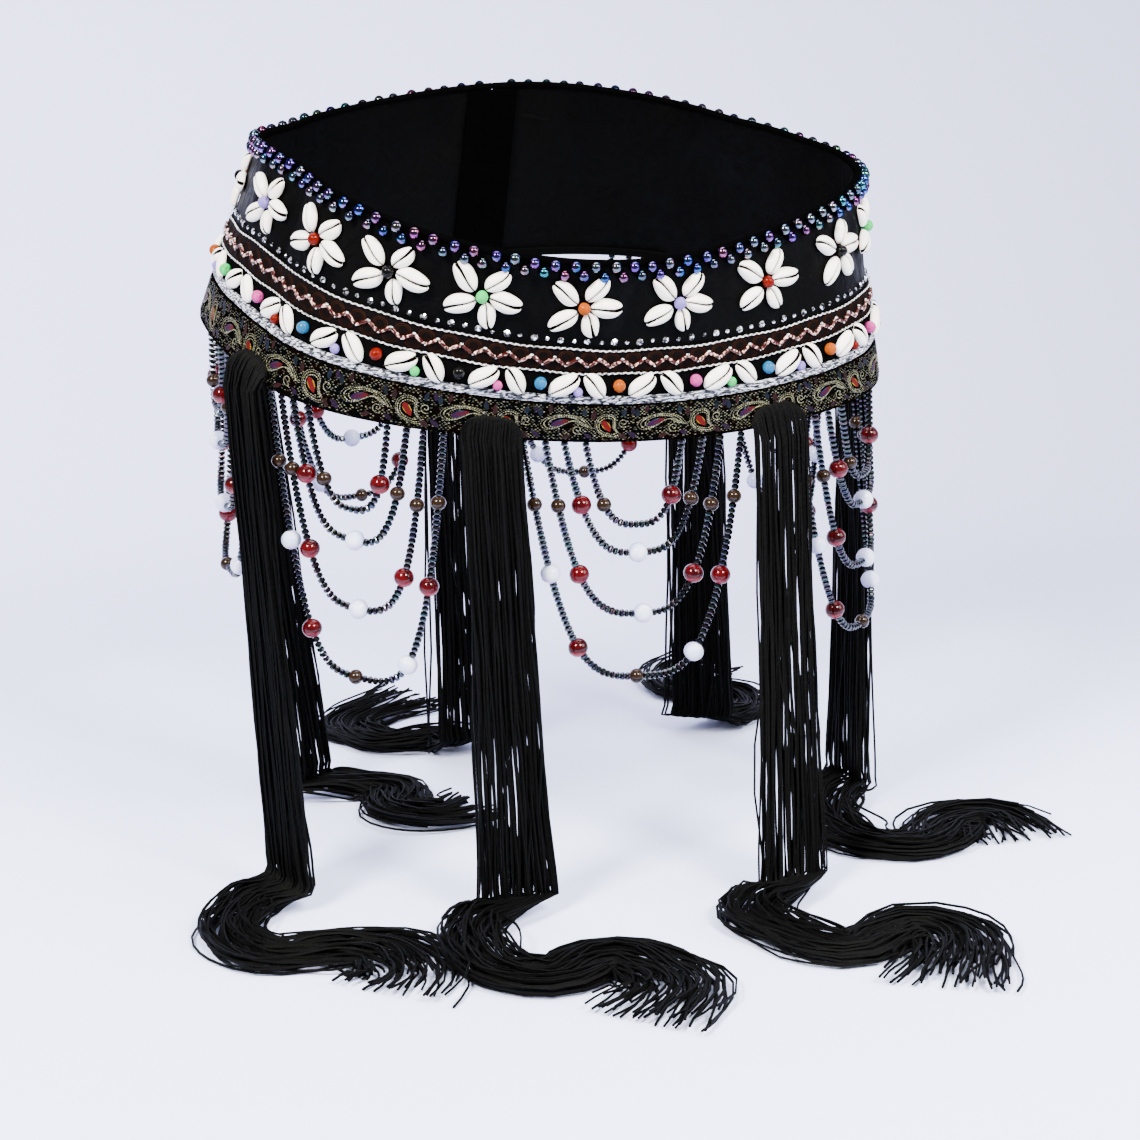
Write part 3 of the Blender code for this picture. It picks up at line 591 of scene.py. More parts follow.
def noise(tree, vector, scale, detail=2.0, rough=0.5, distortion=0.0):
    return node(tree, "ShaderNodeTexNoise", {"Vector": vector, "Scale": scale, "Detail": detail,
                                             "Roughness": rough, "Distortion": distortion}).outputs["Fac"]


def group(name, takes, gives):
    """Empty node group with named sockets, and its inputs; takes holds the usual value of each."""
    tree = bpy.data.node_groups.new(name, "ShaderNodeTree")
    for socket, value in takes.items():
        kind = {float: "Float", tuple: "Color"}.get(type(value), "Vector")
        made = tree.interface.new_socket(name=socket, in_out="INPUT", socket_type="NodeSocket" + kind)
        if value is not None:
            made.default_value = value
    for socket in gives:
        kind = "Color" if socket == "Colour" else "Float"
        tree.interface.new_socket(name=socket, in_out="OUTPUT", socket_type="NodeSocket" + kind)
    return tree, tree.nodes.new("NodeGroupInput").outputs


def close_group(tree, **results):
    out = tree.nodes.new("NodeGroupOutput")
    for socket, value in results.items():
        tree.links.new(value, out.inputs[socket.replace("_", " ")])


def weave_group():
    """Plain weave: threads over and under, in texture coordinates measured in metres."""
    tree, take = group("Plain weave", {"Vector": None, "Threads along": 900.0, "Threads up": 900.0},
                       ("Height", "Over"))
    parts = node(tree, "ShaderNodeSeparateXYZ", {0: take["Vector"]}).outputs
    u = times(tree, times(tree, parts[0], take["Threads along"]), math.pi)
    v = times(tree, times(tree, parts[1], take["Threads up"]), math.pi)
    across, upward = calc(tree, "SINE", u), calc(tree, "SINE", v)
    over = times(tree, across, upward)
    warp = calc(tree, "ABSOLUTE", calc(tree, "COSINE", u))
    weft = calc(tree, "ABSOLUTE", calc(tree, "COSINE", v))
    height = calc(tree, "ADD", times(tree, over, 0.5), calc(tree, "MULTIPLY_ADD", warp, -0.3,
                  times(tree, weft, -0.3)))
    close_group(tree, Height=height, Over=remap(tree, over, -0.2, 0.2))
    return tree


def crumple_group():
    """Crushed cloth: soft broken ridges and a fine pile."""
    tree, take = group("Crushed pile", {"Vector": None, "Ridges": 70.0, "Pile": 1800.0}, ("Height", "Shine"))
    broad = noise(tree, take["Vector"], take["Ridges"], 3.0, 0.55, 1.6)
    ridge = calc(tree, "SUBTRACT", 1.0, calc(tree, "ABSOLUTE", calc(tree, "MULTIPLY_ADD", broad, 4.0, -2.0)))
    fine = noise(tree, take["Vector"], take["Pile"], 1.0, 0.6)
    height = calc(tree, "MULTIPLY_ADD", fine, 0.12, times(tree, ridge, 0.8))
    close_group(tree, Height=height, Shine=remap(tree, ridge, -0.6, 0.95))
    return tree


def film_group():
    """Colours of an oil-like film that drift over glass beads."""
    tree, take = group("Film colours", {"Vector": None, "Scale": 260.0, "Tone": (0.1, 0.1, 0.2, 1.0),
                                        "Amount": 0.5}, ("Colour",))
    drift = noise(tree, take["Vector"], take["Scale"], 1.0, 0.4, 0.6)
    ramp = node(tree, "ShaderNodeValToRGB", {0: drift})
    stops = ((0.30, (0.50, 0.14, 1.00)), (0.42, (0.12, 0.25, 1.00)), (0.52, (0.10, 0.80, 0.85)),
             (0.62, (1.00, 0.20, 0.70)), (0.74, (0.35, 0.90, 0.45)))
    while len(ramp.color_ramp.elements) < len(stops):
        ramp.color_ramp.elements.new(0.5)
    for element, (place, colour) in zip(ramp.color_ramp.elements, stops):
        element.position, element.color = place, (*colour, 1.0)
    close_group(tree, Colour=mix_colour(tree, take["Amount"], take["Tone"], ramp.outputs[0]))
    return tree


def fleck_group():
    """Bright metal threads that show here and there in a woven trim."""
    tree, take = group("Metal flecks", {"Vector": None, "Scale": 900.0, "Share": 0.3}, ("Mask", "Height"))
    cells = node(tree, "ShaderNodeTexVoronoi", {"Vector": take["Vector"], "Scale": take["Scale"]})
    tint = channels(tree, cells.outputs["Color"])[0]
    near = remap(tree, cells.outputs["Distance"], 0.55, 0.25)
    mask = times(tree, calc(tree, "LESS_THAN", tint, take["Share"]), near)
    close_group(tree, Mask=mask, Height=calc(tree, "SUBTRACT", 1.0, cells.outputs["Distance"]))
    return tree


def use_group(tree, made, **links):
    placed = node(tree, "ShaderNodeGroup", None, node_tree=made)
    for socket, value in links.items():
        socket = socket.replace("_", " ")
        if isinstance(value, bpy.types.NodeSocket):
            tree.links.new(value, placed.inputs[socket])
        else:
            placed.inputs[socket].default_value = value
    return placed.outputs


def new_finish(name, colour, rough, metal=0.0, **fixed):
    """Material with its uniform values on the shader's own sockets."""
    finish = bpy.data.materials.new(name)
    finish.use_nodes = True
    tree = finish.node_tree
    shader = tree.nodes["Principled BSDF"]
    fixed.update({"Base Color": (*colour, 1.0), "Roughness": rough, "Metallic": metal})
    for socket, value in fixed.items():
        shader.inputs[socket.replace("_", " ")].default_value = value
    finish.diffuse_color = (*colour, 1.0)
    return finish, tree, shader


def bump(tree, shader, height, strength, distance):
    made = node(tree, "ShaderNodeBump", {"Height": height, "Strength": strength, "Distance": distance})
    tree.links.new(made.outputs[0], shader.inputs["Normal"])


def object_space(tree):
    return node(tree, "ShaderNodeTexCoord").outputs["Object"]


def cloth_space(tree):
    return node(tree, "ShaderNodeUVMap", None, uv_map="UVMap").outputs[0]


def tone_of(tree, word="tone"):
    return node(tree, "ShaderNodeAttribute", None, attribute_name=word).outputs["Color"]


def paint(tree, shader, base):
    """Link a changing colour to a shader."""
    tree.links.new(base, shader.inputs["Base Color"])


def shade(colour, amount):
    return [part * amount for part in colour]


def velvet_finish(look, groups):
    """Near-black pile, its crushed ridges glossier, and painted paler as a painted sheen."""
    finish, tree, shader = new_finish("Crinkled velvet", look.velvet, 0.55, 0.0, Specular_IOR_Level=0.022)
    space = object_space(tree)
    worn = use_group(tree, groups["crushed"], Vector=space, Ridges=62.0, Pile=2600.0)
    patch = noise(tree, space, 26.0, 2.0, 0.5)
    # painted sheen: the base colour is painted paler along the crushed ridges
    paint(tree, shader, mix_colour(tree, worn["Shine"], look.velvet, shade(look.velvet, 2.6)))
    shine = times(tree, worn["Shine"], remap(tree, patch, 0.35, 0.65))
    tree.links.new(remap(tree, shine, 0.0, 1.0, 0.74, 0.36), shader.inputs["Roughness"])
    bump(tree, shader, worn["Height"], 0.55, 0.0007)
    return finish


def edge_finish(look, groups):
    """The same pile, pressed flat, for the folded tape and the tab; its ridges painted paler as a painted
    sheen.
    """
    finish, tree, shader = new_finish("Velvet edge", look.velvet, 0.8, 0.0, Specular_IOR_Level=0.0)
    worn = use_group(tree, groups["crushed"], Vector=object_space(tree), Ridges=160.0, Pile=2600.0)
    # painted sheen: paler base colour along the pressed ridges
    paint(tree, shader, mix_colour(tree, worn["Shine"], look.velvet, shade(look.velvet, 2.2)))
    bump(tree, shader, worn["Height"], 0.5, 0.0004)
    return finish


def film_finish(groups, name, rough, scale):
    """Dark metallic bead and the film's drifting colour on it."""
    finish, tree, shader = new_finish(name, (0.02, 0.02, 0.025), rough, 1.0)
    film = use_group(tree, groups["film"], Vector=object_space(tree), Scale=scale, Tone=tone_of(tree),
                     Amount=0.4)
    return finish, tree, shader, film["Colour"]


def lay_film(tree, shader, amount, colour):
    paint(tree, shader, mix_colour(tree, amount, (0.003, 0.003, 0.004), colour))


def pearl_finish(look, groups):
    """Film strongest low on each pearl as a painted reflection of the floor, cut back over the top as painted
    shade, with a thin rim of it as a painted highlight; local holds the place on the pearl.
    """
    finish, tree, shader, colour = film_finish(groups, "Dark film pearls", 0.035, 150.0)
    shader.inputs["Specular Tint"].default_value = (0.2, 0.2, 0.25, 1.0)
    parts = channels(tree, tone_of(tree, "local"))
    # painted reflection: film brightest low on the pearl, where the floor is mirrored
    low = remap(tree, parts[1], 0.44, 0.16, 0.12, 0.46)
    # painted highlight: a thin ring of film near the pearl's outline
    rim = times(tree, remap(tree, parts[2], 0.58, 0.63), remap(tree, parts[2], 0.76, 0.70))
    # painted shade: film cut back over the top of the pearl
    top = times(tree, low, remap(tree, parts[1], 0.77, 0.84, 1.0, 0.12))
    lay_film(tree, shader, calc(tree, "MAXIMUM", top, times(tree, rim, 0.24)), colour)
    return finish


def seed_finish(look, groups):
    """Faint greyed film all over each seed bead."""
    finish, tree, shader, colour = film_finish(groups, "Dark film seed beads", 0.10, 120.0)
    lay_film(tree, shader, 0.085, mix_colour(tree, 0.55, colour, (0.62, 0.64, 0.62)))
    return finish


def bead_finish(look, groups):
    """Opaque glass in each bead's own colour, a little cloudy."""
    finish, tree, shader = new_finish("Glossy beads", (0.5, 0.2, 0.2), 0.06, 0.0, Specular_IOR_Level=0.09)
    cloudy = noise(tree, object_space(tree), 420.0, 2.0)
    lighter = mix_colour(tree, remap(tree, cloudy, 0.45, 0.75), (1.0, 1.0, 1.0), (1.5, 1.5, 1.5))
    paint(tree, shader, mix_colour(tree, 1.0, tone_of(tree), lighter, "MULTIPLY"))
    return finish


def loop_bead_finish(look, groups):
    """Red, milky and brown beads in one, told apart by their own colour; red beads carry a painted reflection
    low down, milky beads a painted reflection tint low down and painted shade at their edges.
    """
    finish, tree, shader = new_finish("Coated loop beads", (0.4, 0.1, 0.1), 0.04, 0.0, Specular_IOR_Level=0.2)
    own, cloudy = tone_of(tree), noise(tree, object_space(tree), 160.0, 1.0, 0.5, 0.6)
    parts = channels(tree, own)
    red = remap(tree, calc(tree, "SUBTRACT", parts[0], parts[1]), 0.012, 0.035)
    milky = remap(tree, parts[1], 0.05, 0.20)
    place = channels(tree, tone_of(tree, "local"))
    # masks by place on the bead: low down, and away from the front
    low, rim = remap(tree, place[1], 0.42, 0.22), remap(tree, place[2], 0.80, 0.56)
    deep = times(tree, remap(tree, cloudy, 0.40, 0.64, 0.1, 0.8), red)
    base = mix_colour(tree, deep, own, (0.006, 0.0003, 0.0008))
    # painted reflection: pink and orange low on the red beads
    shine = times(tree, times(tree, low, red), remap(tree, cloudy, 0.35, 0.55, 0.25, 0.9))
    base = mix_colour(tree, shine, base, mix_colour(tree, cloudy, (0.20, 0.006, 0.075), (0.26, 0.055, 0.030)))
    veil = times(tree, milky, remap(tree, cloudy, 0.38, 0.60, 0.0, 0.75))
    # painted reflection: the milky tint turns paler and pinker low on the bead
    base = mix_colour(tree, veil, base, mix_colour(tree, low, (0.40, 0.50, 0.72), (0.66, 0.48, 0.80)))
    # painted shade: milky beads darker and bluer at their edges
    edge = times(tree, times(tree, milky, rim), 0.75)
    paint(tree, shader, mix_colour(tree, edge, base, (0.20, 0.20, 0.38)))
    return finish


def crystal_finish(look, groups):
    """Clear facets, painted dark in some places and bright in others as painted reflections."""
    finish, tree, shader = new_finish("Cut crystal", (0.82, 0.84, 0.88), 0.05, 0.9)
    # painted reflection: noise picks dark and bright patches over the facets
    facet = noise(tree, object_space(tree), 900.0, 0.0)
    base = mix_colour(tree, remap(tree, facet, 0.42, 0.58), (0.02, 0.02, 0.025), (0.80, 0.82, 0.86))
    paint(tree, shader, base)
    return finish


def cord_finish(look, groups):
    """White twisted cord, speckled by noise with near-black painted shade of its twist and bright white painted
    glints.
    """
    finish, tree, shader = new_finish("White cord", (0.86, 0.86, 0.86), 0.45, 0.0)
    # painted glints and painted shade: noise speckles the white cord bright and near-black
    glint = noise(tree, object_space(tree), 1400.0, 1.0)
    base = mix_colour(tree, remap(tree, glint, 0.40, 0.56), (0.05, 0.05, 0.055), (0.92, 0.92, 0.92))
    paint(tree, shader, base)
    return finish


def copper_finish(look, groups):
    """Dark copper glass with paler patches from noise as painted highlights."""
    finish, tree, shader = new_finish("Copper bugle beads", look.copper, 0.16, 0.35, Specular_IOR_Level=0.3)
    # painted highlight: pale pink patches over the darkened copper
    painted_highlight_patch = noise(tree, object_space(tree), 620.0, 1.0)
    base = mix_colour(tree, remap(tree, painted_highlight_patch, 0.53, 0.62), shade(look.copper, 0.55), (0.75, 0.45, 0.38))
    paint(tree, shader, base)
    return finish


def braid_finish(look, groups):
    """Dark brown weave, mottled."""
    finish, tree, shader = new_finish("Brown braid", look.braid, 0.8, 0.0, Specular_IOR_Level=0.04)
    cloth = use_group(tree, groups["weave"], Vector=cloth_space(tree), Threads_along=1100.0, Threads_up=1500.0)
    mottle = noise(tree, object_space(tree), 240.0, 3.0)
    base = mix_colour(tree, cloth["Over"], shade(look.braid, 0.12), shade(look.braid, 0.6))
    paint(tree, shader, mix_colour(tree, remap(tree, mottle, 0.4, 0.7), base, shade(look.braid, 0.5)))
    bump(tree, shader, cloth["Height"], 0.6, 0.0003)
    return finish


def embroidery_finish(look, groups):
    """Brown threads of the rings on the braid."""
    finish, tree, shader = new_finish("Brown embroidery", shade(look.braid, 3.0), 0.6, 0.0,
                                      Specular_IOR_Level=0.0)
    strand = noise(tree, object_space(tree), 900.0)
    paint(tree, shader, mix_colour(tree, strand, shade(look.braid, 1.6), (0.022, 0.0085, 0.0045)))
    return finish


def ribbon_finish(look, groups):
    """Flat black weave."""
    finish, tree, shader = new_finish("Black ribbon", (0.001, 0.001, 0.001), 0.8, 0.0, Specular_IOR_Level=0.0)
    cloth = use_group(tree, groups["weave"], Vector=cloth_space(tree), Threads_along=1300.0, Threads_up=1300.0)
    paint(tree, shader, mix_colour(tree, cloth["Over"], (0.0008, 0.0008, 0.0008), (0.0022, 0.0021, 0.0022)))
    bump(tree, shader, cloth["Height"], 0.4, 0.0002)
    return finish


def silver_finish(look, groups):
    """Grey metal threads, with painted glints and painted shade in short dashes along the ribbon."""
    finish, tree, shader = new_finish("Silver metal ribbon", look.silver, 0.5, 0.2, Specular_IOR_Level=0.05)
    speck = use_group(tree, groups["flecks"], Vector=cloth_space(tree), Scale=1300.0, Share=0.5)
    dashes = node(tree, "ShaderNodeVectorMath", {0: object_space(tree), 1: (0.25, 0.25, 1.0)},
                  operation="MULTIPLY").outputs[0]
    # painted highlight: bright glint dashes; painted shade: dark dashes
    glint = remap(tree, noise(tree, dashes, 1500.0, 1.0, 0.5), 0.50, 0.57)
    dark_dash_mask = remap(tree, noise(tree, dashes, 950.0, 1.0, 0.5), 0.49, 0.57)
    base = mix_colour(tree, dark_dash_mask, look.silver, shade(look.silver, 0.12))
    paint(tree, shader, mix_colour(tree, glint, base, (0.62, 0.63, 0.68)))
    bump(tree, shader, speck["Height"], 0.5, 0.0003)
    return finish


def brocade_finish(look, groups):
    """Near-black weave, mottled brown and blue, with sparse metal flecks."""
    finish, tree, shader = new_finish("Brocade ground", look.brocade, 0.8, 0.0, Specular_IOR_Level=0.0)
    space = cloth_space(tree)
    speck = use_group(tree, groups["flecks"], Vector=space, Scale=820.0, Share=0.17)
    cloth = use_group(tree, groups["weave"], Vector=space, Threads_along=1400.0, Threads_up=1400.0)
    mottle = noise(tree, space, 95.0, 3.0, 0.6)
    base = mix_colour(tree, remap(tree, mottle, 0.46, 0.62), look.brocade, (0.0014, 0.0006, 0.0005))
    base = mix_colour(tree, remap(tree, mottle, 0.50, 0.36), base, (0.0005, 0.0009, 0.0014))
    metal = times(tree, speck["Mask"], 0.5)
    paint(tree, shader, mix_colour(tree, metal, base, (0.05, 0.042, 0.020)))
    tree.links.new(metal, shader.inputs["Metallic"])
    bump(tree, shader, cloth["Height"], 0.5, 0.0003)
    return finish


def gold_finish(look, groups):
    """Metal thread, each stitch with its own brightness."""
    finish, tree, shader = new_finish("Pale gold stitches", look.gold, 0.42, 0.1, Specular_IOR_Level=0.3)
    paint(tree, shader, mix_colour(tree, 1.0, tone_of(tree), look.gold, "MULTIPLY"))
    return finish


def satin_finish(look, groups):
    """Floss in each pad's own colours."""
    finish, tree, shader = new_finish("Satin stitches", (0.2, 0.1, 0.1), 0.45, 0.0, Specular_IOR_Level=0.03)
    floss = noise(tree, object_space(tree), 1500.0, 1.0)
    base = mix_colour(tree, remap(tree, floss, 0.35, 0.65, 0.0, 0.65), tone_of(tree), (0.01, 0.01, 0.01))
    paint(tree, shader, base)
    bump(tree, shader, floss, 0.5, 0.0002)
    return finish


def yarn_finish(look, groups):
    """Black yarn with a fine fuzz."""
    finish, tree, shader = new_finish("Black tassel yarn", look.yarn, 0.62, 0.0, Specular_IOR_Level=0.03)
    fuzz = noise(tree, object_space(tree), 1100.0, 2.0)
    paint(tree, shader, mix_colour(tree, remap(tree, fuzz, 0.35, 0.7), shade(look.yarn, 0.6),
                                   shade(look.yarn, 1.8)))
    bump(tree, shader, fuzz, 0.6, 0.0004)
    return finish


def paper_finish(look, groups):
    """Floor colour that turns into the wall's with depth; the wall is painted darker than the floor, and darker
    still to the right, as painted shade.
    """
    finish, tree, shader = new_finish("Studio paper", look.floor, 0.8, 0.0, Specular_IOR_Level=0.2)
    parts = node(tree, "ShaderNodeSeparateXYZ", {0: object_space(tree)}).outputs
    depth = calc(tree, "MULTIPLY_ADD", parts[1], 0.946, times(tree, parts[0], 0.325))
    wall = node(tree, "ShaderNodeMapRange", {0: depth, 1: -0.25, 2: 0.60},
                interpolation_type="SMOOTHSTEP").outputs[0]
    # painted shade: the wall darkens towards the right
    tint = mix_colour(tree, remap(tree, parts[0], -0.25, 0.95), look.wall, shade(look.wall, 0.56))
    paint(tree, shader, mix_colour(tree, wall, look.floor, tint))
    return finish


def cowrie_finish(look, groups):
    """Cream shell with a dark toothed slit, the slit painted near-black as the painted shade in its opening;
    its tone holds the places across and along, and a tint.
    """
    finish, tree, shader = new_finish("Cowrie shell", look.shell, 0.28, 0.0, Subsurface_Weight=0.08,
                                      Subsurface_Scale=0.003, Specular_IOR_Level=0.35)
    parts = channels(tree, tone_of(tree))
    ragged = calc(tree, "MULTIPLY_ADD", noise(tree, object_space(tree), 1300.0, 1.0), 0.044, -0.022)
    across = calc(tree, "ABSOLUTE", calc(tree, "ADD", calc(tree, "SUBTRACT", parts[0], 0.5), ragged))
    blotch = noise(tree, object_space(tree), 150.0, 3.0, 0.6)
    warm = times(tree, remap(tree, blotch, 0.42, 0.75), remap(tree, parts[2], 0.0, 1.0, 0.15, 0.9))
    base = mix_colour(tree, times(tree, warm, 0.42), look.shell, (0.60, 0.47, 0.32))
    teeth = calc(tree, "SINE", times(tree, parts[1], 2 * math.pi * SHELL_TEETH))
    lips = times(tree, remap(tree, across, 0.110, 0.035), remap(tree, teeth, 0.0, 0.5))
    base = mix_colour(tree, times(tree, lips, 0.7), base, (0.10, 0.035, 0.008))
    opened = remap(tree, parts[2], 0.0, 1.0, 0.7, 1.7)
    reach = times(tree, remap(tree, parts[1], 0.30, 0.95, 0.026, 0.066), opened)
    # painted shade: the slit's opening painted near-black
    slit = remap(tree, calc(tree, "SUBTRACT", across, reach), 0.008, -0.010)
    paint(tree, shader, mix_colour(tree, slit, base, (0.0015, 0.0008, 0.0005)))
    tree.links.new(remap(tree, slit, 0.0, 1.0, 0.28, 0.8), shader.inputs["Roughness"])
    tree.links.new(remap(tree, slit, 0.0, 0.5, 0.35, 0.0), shader.inputs["Specular IOR Level"])
    bump(tree, shader, lips, 0.35, -0.0003)
    return finish


def make_finishes(look):
    """Every material of the belt and the stage, by its plain name."""
    groups = {"weave": weave_group(), "crushed": crumple_group(), "film": film_group(), "flecks": fleck_group()}
    makers = {"velvet": velvet_finish, "edge": edge_finish, "pearl": pearl_finish, "seed": seed_finish,
              "bead": bead_finish, "loop_bead": loop_bead_finish, "crystal": crystal_finish,
              "cowrie": cowrie_finish, "cord": cord_finish, "copper": copper_finish, "braid": braid_finish,
              "embroidery": embroidery_finish, "ribbon": ribbon_finish, "silver": silver_finish,
              "brocade": brocade_finish, "gold": gold_finish, "satin": satin_finish, "yarn": yarn_finish,
              "paper": paper_finish}
    return {word: maker(look, groups) for word, maker in makers.items()}


FINISH = {}         # the materials, which main fills before the first piece is made


# -------- velvet
def crease_relief(arc, share):
    """How far the creases push the velvet, by the arc along the crown row and the share down the band."""
    total = np.zeros_like(arc)
    for place, half, depth, lean, first, last in CREASES:
        t = np.clip((share - first) / (last - first), 0.0, 1.0)
        away = (arc + lean * (share - 0.25) * 0.11 - place) / half
        total -= depth * np.exp(-away * away) * np.sin(math.pi * t) ** 0.7
    return total


def make_velvet(sizes):
    """Velvet wall with creases pressed into its upper half, thickened inwards."""
    columns, rows = 400, 26
    piece, share = grid("velvet_band", columns, rows)
    start, stop = run_ends("top")
    arc = start + (stop - start) * share[:, 0]
    down = 1.0 - (1.0 - ROWS["rim"][0]) * share[:, 1]
    angle = np.interp(arc, RUNS["top"], ANGLES)
    out = crease_relief(np.interp(angle, ANGLES, RUNS["crown"]), down) * sizes.crease_depth
    set_coordinates(piece, on_band(np.stack([arc, down, out], axis=1), "top", "hem"))
    scale_uv(piece, stop - start, 0.108)
    thicken(piece, PANEL_THICK)
    finish_mesh(piece, "velvet_band", 50.0)
    place_on_belt(piece, "velvet", "velvet_panel")


def make_top_edge():
    """Narrow folded tape over the velvet's top edge."""
    back = -PANEL_THICK - BINDING_PROUD
    section = ((GAP, BINDING_PROUD), (0.0014, BINDING_PROUD + 0.0002), (0.0026, 0.0004), (0.0032, -0.0010),
               (0.0031, -0.0018), (0.0024, back + 0.0004), (0.0013, back - 0.0001), (GAP, back))
    start, stop = run_ends("rim")
    piece = long_strip("top_edge", 480, section, start, stop, "rim")
    finish_mesh(piece, "top_edge", 60.0)
    place_on_belt(piece, "edge", "top_binding")


def make_closure_tab():
    """Plain tab behind the slit at the centre back."""
    piece, share = grid("closure_cloth", 14, 30)
    across = (share[:, 0] * 2 - 1) * TAB_HALF_WIDTH
    run = RUNS["top"]
    arc = np.where(across < 0, run[-1] + across, run[0] + across)
    down = 0.036 + (1 - 0.036 - TAB_MARGIN) * (1.0 - share[:, 1])
    out = np.full_like(arc, -PANEL_THICK - GAP - 0.0002)
    set_coordinates(piece, on_band(np.stack([arc, down, out], axis=1), "top", "hem"))
    scale_uv(piece, 2 * TAB_HALF_WIDTH, 0.1)
    thicken(piece, TAB_THICK - GAP)
    finish_mesh(piece, "closure_cloth", 50.0)
    place_on_belt(piece, "edge", "closure_tab")


# -------- beads, shells and stones
def bead_pattern(segments, rings, length=1.0, hole=0.66):
    """Bead of unit radius strung along X, dimpled at its two holes."""
    deselect()
    bpy.ops.mesh.primitive_uv_sphere_add(segments=segments, ring_count=rings, radius=1.0)
    piece = bpy.context.active_object
    points = coordinates(piece)
    poles = np.abs(points[:, 2]) > 0.999
    points[poles, 2] *= hole
    points = points[:, (2, 0, 1)] * (length, 1.0, 1.0)
    set_coordinates(piece, points)
    return pattern_of(piece)


def short_bead_pattern(sides, length):
    """Short drum-shaped bead of unit radius strung along X, its rims rounded."""
    profile = ((-1.0, 0.40), (-0.64, 0.89), (0.0, 1.0), (0.64, 0.89), (1.0, 0.40))
    piece, share = grid("short_bead", sides, len(profile) - 1)
    turn = share[:, 0] * 2 * math.pi
    lap = np.linspace(0, 1, len(profile))
    along, girth = (np.interp(share[:, 1], lap, column) for column in zip(*profile))
    set_coordinates(piece, np.stack([along * length, girth * np.cos(turn), girth * np.sin(turn)], axis=1))
    seal(piece, 1e-4)
    drop_uv(piece)
    return pattern_of(piece)


def cowrie_pattern():
    """Money cowrie of unit half length along Y, its slit facing +Z, its back pressed flatter.

    Its shell array holds the place across the slit and along it, and room for a tint.
    """
    deselect()
    bpy.ops.mesh.primitive_uv_sphere_add(segments=24, ring_count=15, radius=1.0)
    piece = bpy.context.active_object
    points = coordinates(piece)
    along = points[:, 2]
    girth = np.sqrt(np.clip(1.0 - along ** 2, 0.0, 1.0))
    turn = np.arctan2(points[:, 1], points[:, 0]) / math.pi
    turn = np.sign(turn) * np.abs(turn) ** 1.55 * math.pi
    wide = 0.58 * girth ** (1.0 + 0.35 * np.clip(-along, 0.0, 1.0)) * (1.0 - 0.05 * along)
    high = 0.52 * girth ** 0.80
    x = wide * np.sin(turn)
    z = high * np.where(np.abs(turn) < math.pi / 2, np.cos(turn), 0.20 * np.cos(turn))
    facing = np.abs(turn) < math.pi / 2
    z = np.where(facing, z * (1.0 - 0.16 * np.exp(-(x / 0.30) ** 2)), z)
    half_slit = 0.045 + 0.045 * np.clip(along, 0, 1)
    groove = np.where(facing, np.exp(-(x / half_slit) ** 2), 0.0) * np.sqrt(girth)
    lips = np.where(facing, np.exp(-((np.abs(x) - 0.13) / 0.07) ** 2), 0.0) * girth
    z = z - (0.20 + 0.10 * np.clip(along, 0, 1)) * groove + 0.035 * lips
    bend = 0.055 * np.sin(2.4 * along) + 0.03 * (1 - along ** 2)
    notch = 0.13 * np.exp(-(x / 0.09) ** 2) * np.clip(along, 0, 1) ** 6
    set_coordinates(piece, np.stack([x + bend, along - notch, z], axis=1))
    found = pattern_of(piece)
    across = np.where(facing, x, np.sign(x) * 0.6) / 1.2 + 0.5
    found["shell"] = np.stack([across, along / 2 + 0.5, np.zeros_like(along)], axis=1)
    return found


def shell_tones(pattern, count, rng):
    tones = np.repeat(pattern["shell"][None, :, :], count, axis=0)
    tones[:, :, 2] = rng.uniform(0.0, 1.0, (count, 1))
    return tones


def per_point(tones, each):
    return np.repeat(np.asarray(tones, dtype=float)[:, None, :], each, axis=1)


def own_places(pattern, count):
    """Where each point lies on its own copy, from 0 to 1 each way."""
    return np.repeat(pattern["points"][None, :, :] * 0.5 + 0.5, count, axis=0)


def film_tones(count, rng, bright=1.0):
    """Purple, blue, green, pink or grey film for each bead."""
    hues = np.array([(0.42, 0.16, 1.00), (0.12, 0.24, 1.00), (0.10, 0.75, 0.80), (0.62, 0.62, 0.66),
                     (0.95, 0.16, 0.50), (0.50, 0.50, 0.56), (0.70, 0.70, 0.72), (0.25, 0.70, 0.40)])
    picked = hues[rng.integers(0, len(hues), count)]
    return picked * rng.uniform(0.7, 1.25, (count, 1)) * bright


def make_pearls(sizes):
    """Two staggered rows of dark pearls under the top edge."""
    rng = np.random.default_rng(11)
    radius = sizes.pearl_radius
    pattern = bead_pattern(14, 9, 0.97, 0.9)
    start, stop = run_ends("top", 0.004)
    flat = []
    for drop, shift in ((0.0030, 0.0), (0.0076, 0.5)):
        count = int((stop - start) / 0.0100)
        pitch = (stop - start) / count
        arcs = start + (np.arange(count) + 0.25 + shift) * pitch
        arcs = arcs + rng.uniform(-0.0007, 0.0007, count)
        flat.append(np.stack([arcs, -drop + rng.uniform(-0.0004, 0.0004, count),
                              np.full(count, radius * 0.86)], axis=1))
    flat = np.concatenate(flat)
    place, turn = frames_on_band(flat, "top", rng.uniform(-0.25, 0.25, len(flat)))
    girth = radius * rng.uniform(0.96, 1.04, (len(flat), 1))
    girth[len(flat) // 2:] *= 0.93
    copies = set_copies(pattern, place, turn, girth)
    tones = per_point(film_tones(len(flat), rng), len(pattern["points"]))
    piece = joined("pearl_rows", pattern, copies, tones, 40.0, own_places(pattern, len(flat)))
    place_on_belt(piece, "pearl")


